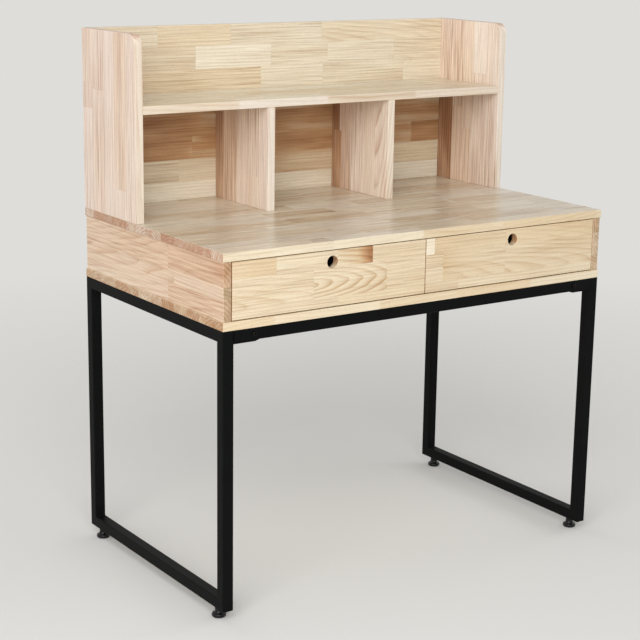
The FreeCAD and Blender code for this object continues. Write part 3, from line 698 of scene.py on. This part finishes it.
def hutch_back_staves():
    """Pale staves above the shelf, and browner ones behind the cubbies, in the rows of the real panel. The
    brown under the shelf is partly the wood's tone and partly painted shade of the shelf and the cubbies,
    and the lowest rows are laid paler as painted light against the cubbies' shade.
    """
    rows = [(low, high) for high, low in zip(HUTCH_BACK_ROWS, HUTCH_BACK_ROWS[1:])]
    first, second, third, fourth, fifth, sixth, seventh, last = rows
    return [
        *laid_row(first, (-0.500, -0.322, -0.132, 0.120, 0.500),
                  (0.62, 0.58), (0.36, 0.36), (0.50, 0.45), (0.20, 0.24, SLANTED_PITH)),
        *laid_row(second, (-0.500, -0.225, -0.022, 0.138, 0.335, 0.500),
                  (0.62, 0.58), (0.16, 0.20), (0.44, 0.40), (0.28, 0.32), (0.42, 0.50, SLANTED_PITH)),
        # Rows under the shelf: their brown is partly the wood's tone and partly painted shade of the shelf
        # and the cubbies
        *laid_row(fourth, (-0.500, -0.160, -0.012, 0.210, 0.500),
                  (0.90, 0.88), (0.48, 0.56), (0.84, 0.84), (0.83, 0.88)),
        *laid_row(fifth, (-0.500, -0.050, 0.176, 0.338, 0.500),
                  (0.93, 0.89), (0.97, 0.95), (0.60, 0.54), (0.84, 0.88)),
        *laid_row(sixth, (-0.500, -0.366, -0.235, -0.120, 0.190, 0.395, 0.500),
                  (0.56, 0.66), (0.88, 0.90), (0.89, 0.86), (0.91, 0.97), (0.84, 0.90), (0.97, 0.97)),
        # Seventh and last rows laid paler: painted light against the shade deep in the cubbies
        *laid_row(seventh, (-0.500, -0.270, -0.030, 0.290, 0.500),
                  (0.56, 0.52), (0.66, 0.70), (0.84, 0.80), (0.30, 0.26)),
        Stave((-0.100, 0.200), last, 0.12, 0.20),
        Stave((-0.400, -0.165), last, 0.04, 0.08),
        Stave((0.200, 0.500), last, 0.08, 0.08),
        Stave((-0.440, -0.050), third, 0.48, 0.44),
    ]


def case_side_staves():
    """Rear half with long sweeping rings, front half browner, as they meet on the left side panel."""
    return [
        Stave((-0.076, 0.300), (0.700, 0.756), 0.56, 0.44, SWEPT_PITH, 0.36),
        Stave((-0.300, -0.076), (0.704, 0.756), 0.80, 0.70, SLANTED_PITH),
        Stave((-0.300, -0.100), (0.676, 0.704), 0.32, 0.36),
        Stave((-0.100, 0.300), (0.650, 0.700), 0.42, 0.36, SWEPT_PITH, 0.38, WIDE_RINGS),
        Stave((-0.300, -0.076), (0.630, 0.676), 0.58, 0.62, SLANTED_PITH, 0.4),
        Stave((-0.076, 0.300), (0.630, 0.650), 0.35, 0.25, SLANTED_PITH, 0.5),
    ]


def desktop_staves():
    """Brown staves of the desktop, the pale one at its left front corner, and pale cubby floors."""
    return [
        Stave((-0.207, -0.040), (-0.022, 0.030), 0.84, 0.86),
        Stave((-0.197, 0.007), (-0.102, -0.052), 0.80, 0.70),
        Stave((-0.400, -0.300), (-0.098, -0.045), 0.74, 0.76),
        # Laid browner at the right: painted shade that tones down the pale reflection there
        Stave((0.160, 0.270), (-0.170, -0.110), 0.70, 0.76),
        Stave((0.150, 0.340), (0.135, 0.185), 0.66, 0.74),
        Stave((0.060, 0.300), (0.030, 0.082), 0.70, 0.66),
        Stave((0.280, 0.500), (-0.060, -0.010), 0.66, 0.72),
        Stave((-0.500, -0.280), (-0.300, -0.255), 0.12, 0.16),
        Stave((-0.470, -0.190), (0.186, 0.237), 0.06, 0.12),
        Stave((-0.420, -0.215), (0.135, 0.186), 0.14, 0.10),
        Stave((0.250, 0.470), (0.186, 0.237), 0.08, 0.12),
    ]


def upright_staves():
    """Staves of the hutch's uprights, where they are as on the real ones: browner towards their rear, partly
    the wood's tone and partly painted shade deep in the cubbies.
    """
    foot = 0.770
    head = 1.005
    crown = 1.170
    return {
        "left_side": [
            *laid_row((0.030, 0.098), (foot, crown), (0.34, 0.42)),
            *laid_row((0.252, 0.300), (foot, 0.998, 1.054, crown), (0.34, 0.30), (0.56, 0.54), (0.32, 0.44)),
            *laid_row((0.201, 0.252), (foot, 1.041, crown), (0.48, 0.30), (0.62, 0.54)),
            *laid_row((0.150, 0.201), (foot, crown), (0.46, 0.42)),
            *laid_row((0.098, 0.150), (foot, 0.836, crown), (0.50, 0.46), (0.42, 0.48)),
        ],
        "right_side": [
            # Rear stave laid brown inside the right cubby: partly the wood's tone and partly painted shade
            # of the cubby's depth
            *laid_row((0.228, 0.300), (foot, 1.012, crown), (0.94, 0.96), (0.26, 0.20)),
            *laid_row((0.190, 0.228), (foot, 0.958, crown), (0.66, 0.50), (0.48, 0.36)),
            *laid_row((0.152, 0.190), (foot, 0.905, crown), (0.34, 0.40), (0.22, 0.06)),
            *laid_row((0.105, 0.152), (foot, 1.045, crown), (0.42, 0.24), (0.10, 0.08)),
            *laid_row((0.050, 0.105), (foot, crown), (0.30, 0.12)),
        ],
        "divider_1": [
            # Rear stave laid brown: partly the wood's tone and partly painted shade deep in the cubbies
            *laid_row((0.247, 0.300), (foot, head), (0.91, 0.93)),
            *laid_row((0.190, 0.247), (foot, head), (0.40, 0.54)),
            *laid_row((0.140, 0.190), (foot, head), (0.16, 0.30)),
            *laid_row((0.095, 0.140), (foot, 0.845, head), (0.10, 0.12), (0.20, 0.32)),
            *laid_row((0.030, 0.095), (foot, head), (0.16, 0.20)),
        ],
        "divider_2": [
            # Rear staves laid brown: partly the wood's tone and partly painted shade deep in the cubbies
            *laid_row((0.242, 0.300), (foot, 0.912), (0.93, 0.92)),
            *laid_row((0.250, 0.300), (0.912, head), (0.98, 1.00)),
            *laid_row((0.205, 0.242), (foot, head), (0.86, 0.76)),
            *laid_row((0.155, 0.205), (foot, head), (0.20, 0.24)),
            *laid_row((0.105, 0.155), (foot, head), (0.10, 0.12)),
            *laid_row((0.030, 0.105), (foot, head), (0.06, 0.04, SWEPT_PITH, 0.65)),
        ],
    }


# How far the seeds of like boards lie apart
SIDE_SEED_STEP = 7
UPRIGHT_SEED_STEP = 4.3


def case_boards():
    """Boards of the drawer case."""
    boards = {
        "desktop": Board("XYZ", TAN, seed=2.1, edges=PALE, laid=desktop_staves(), streaks=2.0, polish=0.70),
        "base_panel": Board("XYZ", PALE, seed=5.7, tones=EVEN_TONES),
        "back_panel": Board("XZY", PALE, seed=12.9),
        "centre_divider": Board("YZX", BLUSH, seed=21.6),
    }
    for number, side in enumerate(SIDES):
        seed = 46.7 + SIDE_SEED_STEP * number
        laid = case_side_staves() if side == "left" else ()
        boards[side + "_side_panel"] = Board("YZX", WARM, seed, laid=laid, streaks=1.6)
    return boards


def hutch_boards():
    """Boards of the hutch."""
    boards = {
        "hutch_shelf": Board("XYZ", STRAW, seed=9.4, tones=INNER_TONES, edges=CREAM, polish=0.8),
        "hutch_back_panel": Board(
            "XZY", STRAW, seed=17.3, row_start=HUTCH_BACK_ROWS[3], laid=hutch_back_staves(), streaks=1.3,
            far_tone=FAR_TONE),
    }
    for number, (name, laid) in enumerate(upright_staves().items()):
        boards["hutch_" + name] = Board(
            "ZYX", BLUSH, seed=24.2 + UPRIGHT_SEED_STEP * number, tones=INNER_TONES, edges=CREAM, laid=laid,
            streaks=1.7 if name == "left_side" else 2.4, far_tone=FAR_TONE)
    return boards


def drawer_boards():
    """Boards of the two drawers."""
    boards = {}
    for number, side in enumerate(SIDES):
        step = SIDE_SEED_STEP * number
        drawer = side + "_drawer_"
        boards[drawer + "front"] = Board("XZY", PALE, seed=60.3 + step, laid=drawer_front_staves(side))
        boards[drawer + "back"] = Board("XZY", PALE, seed=74.2 + step)
        boards[drawer + "left_side"] = Board("YZX", PALE, seed=88.9 + step)
        boards[drawer + "right_side"] = Board("YZX", PALE, seed=103.4 + step)
    return boards


def dress(boards, settings):
    """Gives each board its own rubberwood."""
    for name, board in boards.items():
        wear(name, rubberwood(name, board, settings))


def new_object(name, mesh, material):
    """Object made of a finished bmesh, wearing a material."""
    data = bpy.data.meshes.new(name)
    mesh.to_mesh(data)
    mesh.free()
    data.materials.append(material)
    made = bpy.data.objects.new(name, data)
    bpy.context.scene.collection.objects.link(made)
    return made


def new_piece(name, mesh, body, material, replaced=()):
    """Makes a finished bmesh a piece that rides on a body, wears a material and may stand for CAD nodes."""
    piece = new_object(name, mesh, material)
    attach(piece, body)
    if replaced:
        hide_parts(*replaced)


def join(mesh, made):
    """Moves a finished bmesh into a larger one."""
    data = bpy.data.meshes.new("made")
    made.to_mesh(data)
    made.free()
    mesh.from_mesh(data)
    bpy.data.meshes.remove(data)


# Points closer than this are one point
MERGE_DISTANCE = 0.000005


def solids(node_name):
    """Points of each separate solid of a CAD node, from a merged copy of its mesh."""
    mesh = bmesh.new()
    mesh.from_mesh(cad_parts[node_name].data)
    bmesh.ops.remove_doubles(mesh, verts=mesh.verts, dist=MERGE_DISTANCE)
    left = dict.fromkeys(mesh.verts)
    groups = []
    while left:
        waiting = [left.popitem()[0]]
        group = []
        while waiting:
            vert = waiting.pop()
            group.append(vert.co.copy())
            for edge in vert.link_edges:
                other = edge.other_vert(vert)
                if other in left:
                    del left[other]
                    waiting.append(other)
        groups.append(group)
    mesh.free()
    return groups


# Points of a CAD screw this far out are its head's, and the rest its shank's
HEAD_LIMIT_SHARE = 0.9

# Shape of a pan head and its cross recess, as shares of the head's radius and height
HEAD_RIM_SHARE = 0.35
HEAD_CROWN_SHARE = 0.62
CROSS_REACH_SHARE = 0.48
CROSS_WAIST_SHARE = 0.15
CROSS_DEPTH_SHARE = 0.6
HEAD_STEPS = 4


def add_screw(mesh, points, segments):
    """Pan-head screw with a cross recess, where the points of a plain CAD screw lie."""
    low = Vector([min(point[axis] for point in points) for axis in range(3)])
    high = Vector([max(point[axis] for point in points) for axis in range(3)])
    size = high - low
    long_axis = max(range(3), key=lambda axis: size[axis])
    middle = (low + high) / 2
    across = [axis for axis in range(3) if axis != long_axis]

    def off_axis(point):
        return math.hypot(*(point[axis] - middle[axis] for axis in across))

    head_radius = max(off_axis(point) for point in points)
    head_limit = HEAD_LIMIT_SHARE * head_radius
    head = [point[long_axis] for point in points if off_axis(point) > head_limit]
    shank_radius = max(off_axis(point) for point in points if off_axis(point) <= head_limit)
    head_up = 1 if max(head) > middle[long_axis] else -1
    seat = min(head) if head_up > 0 else max(head)
    height = max(head) - min(head)
    shank = size[long_axis] - height
    start = middle.copy()
    start[long_axis] = seat
    up = Vector([head_up if axis == long_axis else 0.0 for axis in range(3)])
    place = Matrix.Translation(start) @ up.to_track_quat("Z", "X").to_matrix().to_4x4()

    # Rim and crown by spinning their outline, then both open ends closed
    made = bmesh.new()
    rim = HEAD_RIM_SHARE * height
    crown = HEAD_CROWN_SHARE * head_radius
    turns = [math.pi / 2 * step / HEAD_STEPS for step in range(HEAD_STEPS + 1)]
    arc = [Vector((crown + (head_radius - crown) * math.cos(turn), 0, rim + (height - rim) * math.sin(turn)))
           for turn in turns]
    outline = [made.verts.new(point) for point in [Vector((head_radius, 0, 0)), *arc]]
    edges = [made.edges.new(pair) for pair in zip(outline, outline[1:])]
    bmesh.ops.spin(made, geom=[*outline, *edges], cent=(0, 0, 0), axis=(0, 0, 1),
                   angle=math.tau, steps=segments, use_merge=True)
    bmesh.ops.holes_fill(made, edges=made.edges, sides=0)

    # Cross recess pressed into the crown
    top = max(made.faces, key=lambda face: face.calc_center_median().z)
    bmesh.ops.inset_region(made, faces=[top], thickness=crown * (1 - CROSS_REACH_SHARE))
    for vert in top.verts:
        turn = math.atan2(vert.co.y, vert.co.x)
        in_arm = abs(math.cos(2 * turn)) > math.cos(math.pi / 4)
        reach = head_radius * (CROSS_REACH_SHARE if in_arm else CROSS_WAIST_SHARE)
        vert.co.x = reach * math.cos(turn)
        vert.co.y = reach * math.sin(turn)
    pressed = bmesh.ops.extrude_discrete_faces(made, faces=[top])["faces"]
    bmesh.ops.translate(made, verts=pressed[0].verts, vec=(0, 0, -CROSS_DEPTH_SHARE * height))

    # Shank below the head
    bmesh.ops.create_cone(made, cap_ends=True, segments=segments // 2, radius1=shank_radius,
                          radius2=shank_radius, depth=shank, matrix=Matrix.Translation((0, 0, -shank / 2)))
    bmesh.ops.recalc_face_normals(made, faces=made.faces)
    bmesh.ops.transform(made, matrix=place, verts=made.verts)
    join(mesh, made)


def screw_group(node_name, body, material, settings):
    """All the screws of a CAD node, with their heads worked out."""
    mesh = bmesh.new()
    for points in solids(node_name):
        add_screw(mesh, points, settings.screw_segments)
    new_piece("fine_" + node_name, mesh, body, material, [node_name])


# Outline of one turn of thread: at the root or the crest, and how far up the pitch
THREAD_SHARES = (("root", 0.0), ("root", 0.12), ("crest", 0.44), ("crest", 0.68), ("root", 1.0))
THREAD_STEPS = 24

# Turns that stand over the stud's two ends and are cut off
SPARE_TURNS = 2


def threaded_stud(corner, material, settings):
    """Stud of a levelling foot with its thread, from one turn of its outline spun up and cut flat."""
    node_name = corner + "_foot_stud"
    low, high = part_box(node_name)
    middle = (low + high) / 2
    crest = (high.x - low.x) / 2
    radii = {"root": crest - settings.thread_depth, "crest": crest}
    pitch = settings.thread_pitch
    turns = math.ceil((high.z - low.z) / pitch) + SPARE_TURNS
    foot = Vector((middle.x, middle.y, low.z - pitch))
    mesh = bmesh.new()
    outline = [Vector((radii[place], 0, share * pitch)) for place, share in THREAD_SHARES]
    profile = [mesh.verts.new(foot + point) for point in outline]
    edges = [mesh.edges.new(pair) for pair in zip(profile, profile[1:])]
    bmesh.ops.spin(mesh, geom=[*profile, *edges], cent=foot, axis=(0, 0, 1), angle=turns * math.tau,
                   dvec=(0, 0, pitch / THREAD_STEPS), steps=turns * THREAD_STEPS)
    bmesh.ops.remove_doubles(mesh, verts=mesh.verts, dist=MERGE_DISTANCE)
    for level, way in ((low.z, -1), (high.z, 1)):
        everything = [*mesh.verts, *mesh.edges, *mesh.faces]
        bmesh.ops.bisect_plane(mesh, geom=everything, plane_co=(0, 0, level), plane_no=(0, 0, way),
                               clear_outer=True)
    bmesh.ops.holes_fill(mesh, edges=mesh.edges, sides=0)
    bmesh.ops.recalc_face_normals(mesh, faces=mesh.faces)
    foot_body = corner + "_levelling_foot"
    new_piece(corner + "_threaded_stud", mesh, foot_body, material, [node_name])


# How far a bead narrows between its ripples, and at its two ends
RIPPLE_SHARE = 0.82
BEAD_END_SHARE = 0.45
BEAD_SEGMENTS = 12
RIPPLE_CUTS = 4


def add_weld_bead(mesh, start, end, settings):
    """Row of ripples laid into a corner, narrower at both ends."""
    run = end - start
    way = run.normalized()
    ripples = round(run.length / settings.ripple)
    place = Matrix.Translation((start + end) / 2) @ way.to_track_quat("Z", "Y").to_matrix().to_4x4()
    made = bmesh.new()
    bmesh.ops.create_cone(made, cap_ends=True, segments=BEAD_SEGMENTS, radius1=settings.bead_radius,
                          radius2=settings.bead_radius, depth=run.length, matrix=place)
    lengthways = [edge for edge in made.edges if edge.calc_length() > run.length / 2]
    bmesh.ops.subdivide_edges(made, edges=lengthways, cuts=RIPPLE_CUTS * ripples - 1)
    for vert in made.verts:
        along = (vert.co - start).dot(way)
        centre = start + way * along
        swell = RIPPLE_SHARE + (1 - RIPPLE_SHARE) * abs(math.sin(math.pi * along / settings.ripple))
        from_end = min(along, run.length - along) / settings.ripple
        taper = BEAD_END_SHARE + (1 - BEAD_END_SHARE) * min(1.0, from_end)
        vert.co = centre + (vert.co - centre) * swell * taper
    bmesh.ops.recalc_face_normals(made, faces=made.faces)
    join(mesh, made)


def weld_beads(material, settings):
    """Beads in the inner corners of the two end frames, and under the cross rails' sockets."""
    mesh = bmesh.new()
    for side in SIDES:
        top_low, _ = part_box(side + "_top_rail")
        _, bottom_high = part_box(side + "_bottom_rail")
        for end in ENDS:
            leg_low, leg_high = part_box(f"{side}_{end}_leg")
            inner_y = leg_high.y if end == "front" else leg_low.y
            for level in (top_low.z, bottom_high.z):
                one = Vector((leg_low.x + settings.bead_radius, inner_y, level))
                other = Vector((leg_high.x - settings.bead_radius, inner_y, level))
                add_weld_bead(mesh, one, other, settings)
    for points in solids("cross_rail_sockets"):
        inner_x = max((point.x for point in points), key=abs)
        level = min(point.z for point in points)
        seat = [point.y for point in points]
        one = Vector((inner_x, min(seat) + settings.bead_radius, level))
        other = Vector((inner_x, max(seat) - settings.bead_radius, level))
        add_weld_bead(mesh, one, other, settings)
    new_piece("weld_beads", mesh, "desk", material)


BEND_SEGMENTS = 3


def round_bends(node_name, settings):
    """Rounds the bends of a runner's sheet steel."""
    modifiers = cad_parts[node_name].modifiers
    modifiers.new("joined_faces", "WELD").merge_threshold = MERGE_DISTANCE
    bend = modifiers.new("bends", "BEVEL")
    bend.width = settings.bend_radius
    bend.segments = BEND_SEGMENTS
    bend.limit_method = "ANGLE"


WHITE = (1.0, 1.0, 1.0, 1.0)

# Where the floor starts to fade and where it is gone, as shares of its radius
FLOOR_FADE_SHARES = (0.30, 0.95)
FLOOR_SEGMENTS = 96


def lay_floor(settings):
    """Pale matt floor that fades into the background at its rim."""
    mesh = bmesh.new()
    bmesh.ops.create_circle(mesh, cap_ends=True, segments=FLOOR_SEGMENTS, radius=settings.floor_radius)
    material, tree = new_material("matt_pale_floor", settings.floor_colour)
    matt = {"Base Color": (*settings.floor_colour, 1.0), "Roughness": 0.9, "Specular IOR Level": 0.1}
    far = add(tree, "VectorMath", add(tree, "TexCoord", out="Object"), operation="LENGTH", out="Value")
    start, end = (share * settings.floor_radius for share in FLOOR_FADE_SHARES)
    fade = add(tree, "MapRange", far, start, end, 1.0, 0.0)
    clear = add(tree, "BsdfTransparent")
    add(tree, "OutputMaterial", add(tree, "MixShader", fade, clear, add(tree, "BsdfPrincipled", named=matt)))
    new_object("studio_floor", mesh, material)


def light_world(settings):
    """Even light for the object, and the floor's colour where a view or reflection meets the background."""
    world = bpy.data.worlds.new("studio")
    world.use_nodes = True
    tree = world.node_tree
    tree.nodes.clear()
    path = add(tree, "LightPath").node.outputs
    seen = add(tree, "Math", path["Is Camera Ray"], path["Is Glossy Ray"], operation="MAXIMUM")
    seen = add(tree, "Math", seen, path["Is Transmission Ray"], operation="MAXIMUM")
    ambient = add(tree, "Background", WHITE, settings.ambient)
    backdrop = add(tree, "Background", (*settings.floor_colour, 1.0), 1.0)
    add(tree, "OutputWorld", add(tree, "MixShader", seen, ambient, backdrop))
    bpy.context.scene.world = world


# Places and sizes of the lamps, and the point that they face
LAMP_AIM = Vector((0.0, 0.0, 0.8))
KEY_PLACE = Vector((-2.7, -3.1, 2.3))
KEY_SIZE = 4.2
FILL_PLACES = {
    "right_lamp": Vector((4.2, -0.6, 2.4)),
    "rear_lamp": Vector((-0.6, 4.4, 2.6)),
}
FILL_SIZE = 2.6


def hang_lights(settings):
    """A large soft lamp in front on the left, and two weak ones that open up the other sides."""
    lamps = [("key_lamp", KEY_PLACE, KEY_SIZE, settings.key_power)]
    for name, place in FILL_PLACES.items():
        lamps.append((name, place, FILL_SIZE, settings.fill_power))
    for name, place, size, power in lamps:
        lamp = bpy.data.lights.new(name, "AREA")
        lamp.shape = "DISK"
        lamp.size = size
        lamp.energy = power
        holder = bpy.data.objects.new(name, lamp)
        facing = (LAMP_AIM - place).to_track_quat("-Z", "Y").to_matrix().to_4x4()
        holder.matrix_world = Matrix.Translation(place) @ facing
        bpy.context.scene.collection.objects.link(holder)


def stand_camera(settings):
    """Camera at the photograph's place and angle."""
    lens = bpy.data.cameras.new("camera")
    lens.lens = settings.camera_lens
    camera = bpy.data.objects.new("camera", lens)
    turn = Matrix.Rotation(settings.camera_turn, 4, "Z")
    tilt = Matrix.Rotation(math.pi / 2 - settings.camera_tilt, 4, "X")
    roll = Matrix.Rotation(settings.camera_roll, 4, "Z")
    camera.matrix_world = Matrix.Translation(settings.camera_place) @ turn @ tilt @ roll
    bpy.context.scene.collection.objects.link(camera)
    bpy.context.scene.camera = camera


class DESK_OT_case_boards(bpy.types.Operator):
    """Dress the desktop and the boards of the drawer case in rubberwood"""

    bl_idname = "desk.case_boards"
    bl_label = "Drawer case"

    def execute(self, context):
        dress(case_boards(), context.scene.desk_boards)
        return {"FINISHED"}


class DESK_OT_hutch_boards(bpy.types.Operator):
    """Dress the boards of the hutch in rubberwood"""

    bl_idname = "desk.hutch_boards"
    bl_label = "Hutch"

    def execute(self, context):
        dress(hutch_boards(), context.scene.desk_boards)
        return {"FINISHED"}


class DESK_OT_drawer_boards(bpy.types.Operator):
    """Dress the drawers in rubberwood, and their bottoms in plywood"""

    bl_idname = "desk.drawer_boards"
    bl_label = "Drawers"

    def execute(self, context):
        settings = context.scene.desk_boards
        dress(drawer_boards(), settings)
        plywood = birch_plywood(settings)
        for side in SIDES:
            wear(side + "_drawer_bottom", plywood)
        return {"FINISHED"}


class DESK_OT_dowels(bpy.types.Operator):
    """Dress the dowels in beech"""

    bl_idname = "desk.dowels"
    bl_label = "Dowels"

    def execute(self, context):
        beech = turned_beech()
        for name in ("panel_dowels", "left_drawer_dowels", "right_drawer_dowels"):
            wear(name, beech)
        return {"FINISHED"}


class DESK_OT_steel_frame(bpy.types.Operator):
    """Coat the frame's tubes and sockets, and lay its weld beads"""

    bl_idname = "desk.steel_frame"
    bl_label = "Steel frame"

    def execute(self, context):
        settings = context.scene.desk_frame
        coat = powder_coat(settings)
        rails = [f"{side}_{level}_rail" for side in SIDES for level in ("top", "bottom")]
        cross_rails = [end + "_cross_rail" for end in ENDS]
        legs = [corner + "_leg" for corner in CORNERS]
        for name in (*legs, *rails, *cross_rails, "cross_rail_sockets"):
            wear(name, coat)
        weld_beads(coat, settings)
        return {"FINISHED"}


class DESK_OT_frame_fasteners(bpy.types.Operator):
    """Blacken the bolts, dress the nuts in zinc and make the frame's screws"""

    bl_idname = "desk.frame_fasteners"
    bl_label = "Bolts, nuts and screws"

    def execute(self, context):
        settings = context.scene.desk_fittings
        zinc = zinc_plate(settings)
        wear("cross_rail_bolts", black_oxide(settings))
        wear("weld_nuts", zinc)
        screw_group("frame_screws", "desk", zinc, settings)
        return {"FINISHED"}


class DESK_OT_levelling_feet(bpy.types.Operator):
    """Dress the moulded feet and cut the threads of their studs"""

    bl_idname = "desk.levelling_feet"
    bl_label = "Levelling feet"

    def execute(self, context):
        settings = context.scene.desk_fittings
        plastic = moulded_polypropylene(context.scene.desk_frame)
        zinc = zinc_plate(settings)
        for corner in CORNERS:
            wear(corner + "_foot", plastic)
            threaded_stud(corner, zinc, settings)
        return {"FINISHED"}


class DESK_OT_runners(bpy.types.Operator):
    """Dress the drawer runners and ball cages, and make the runners' screws"""

    bl_idname = "desk.runners"
    bl_label = "Drawer runners"

    def execute(self, context):
        settings = context.scene.desk_fittings
        zinc = zinc_plate(settings)
        for side in SIDES:
            for hand in SIDES:
                for name in (f"{side}_bay_{hand}_runner", f"{side}_drawer_{hand}_runner"):
                    wear(name, zinc)
                    round_bends(name, settings)
            wear(side + "_drawer_ball_cages", zinc)
            screw_group(side + "_drawer_runner_screws", side + "_drawer", zinc, settings)
        screw_group("bay_runner_screws", "desk", zinc, settings)
        return {"FINISHED"}


class DESK_OT_studio(bpy.types.Operator):
    """Lay the floor, hang the lights and stand the camera"""

    bl_idname = "desk.studio"
    bl_label = "Studio"

    def execute(self, context):
        settings = context.scene.desk_stage
        lay_floor(settings)
        light_world(settings)
        hang_lights(settings)
        stand_camera(settings)
        context.scene.view_settings.view_transform = "Standard"
        return {"FINISHED"}


SETTINGS = {
    "desk_boards": BoardSettings,
    "desk_frame": FrameSettings,
    "desk_fittings": FittingSettings,
    "desk_stage": StageSettings,
}
OPERATORS = (
    DESK_OT_case_boards,
    DESK_OT_hutch_boards,
    DESK_OT_drawer_boards,
    DESK_OT_dowels,
    DESK_OT_steel_frame,
    DESK_OT_frame_fasteners,
    DESK_OT_levelling_feet,
    DESK_OT_runners,
    DESK_OT_studio,
)


class DESK_PT_panel(bpy.types.Panel):
    """Settings of the desk, and the steps that dress it"""

    bl_idname = "DESK_PT_panel"
    bl_label = "Desk with shelves"
    bl_space_type = "VIEW_3D"
    bl_region_type = "UI"
    bl_category = "Desk"

    def draw(self, context):
        for name, kind in SETTINGS.items():
            box = self.layout.box()
            for prop in kind.__annotations__:
                box.prop(getattr(context.scene, name), prop)
        for operator in OPERATORS:
            self.layout.operator(operator.bl_idname)


def register():
    """Registers the settings, the operators and the panel."""
    for name, kind in SETTINGS.items():
        bpy.utils.register_class(kind)
        setattr(bpy.types.Scene, name, PointerProperty(type=kind))
    for kind in (*OPERATORS, DESK_PT_panel):
        bpy.utils.register_class(kind)


def unregister():
    """Takes back what register added."""
    for kind in (DESK_PT_panel, *reversed(OPERATORS)):
        bpy.utils.unregister_class(kind)
    for name, kind in SETTINGS.items():
        delattr(bpy.types.Scene, name)
        bpy.utils.unregister_class(kind)


def main():
    """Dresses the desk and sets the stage."""
    register()
    bpy.ops.desk.case_boards()
    bpy.ops.desk.hutch_boards()
    bpy.ops.desk.drawer_boards()
    bpy.ops.desk.dowels()
    bpy.ops.desk.steel_frame()
    bpy.ops.desk.frame_fasteners()
    bpy.ops.desk.levelling_feet()
    bpy.ops.desk.runners()
    bpy.ops.desk.studio()


if __name__ == "__main__":
    main()
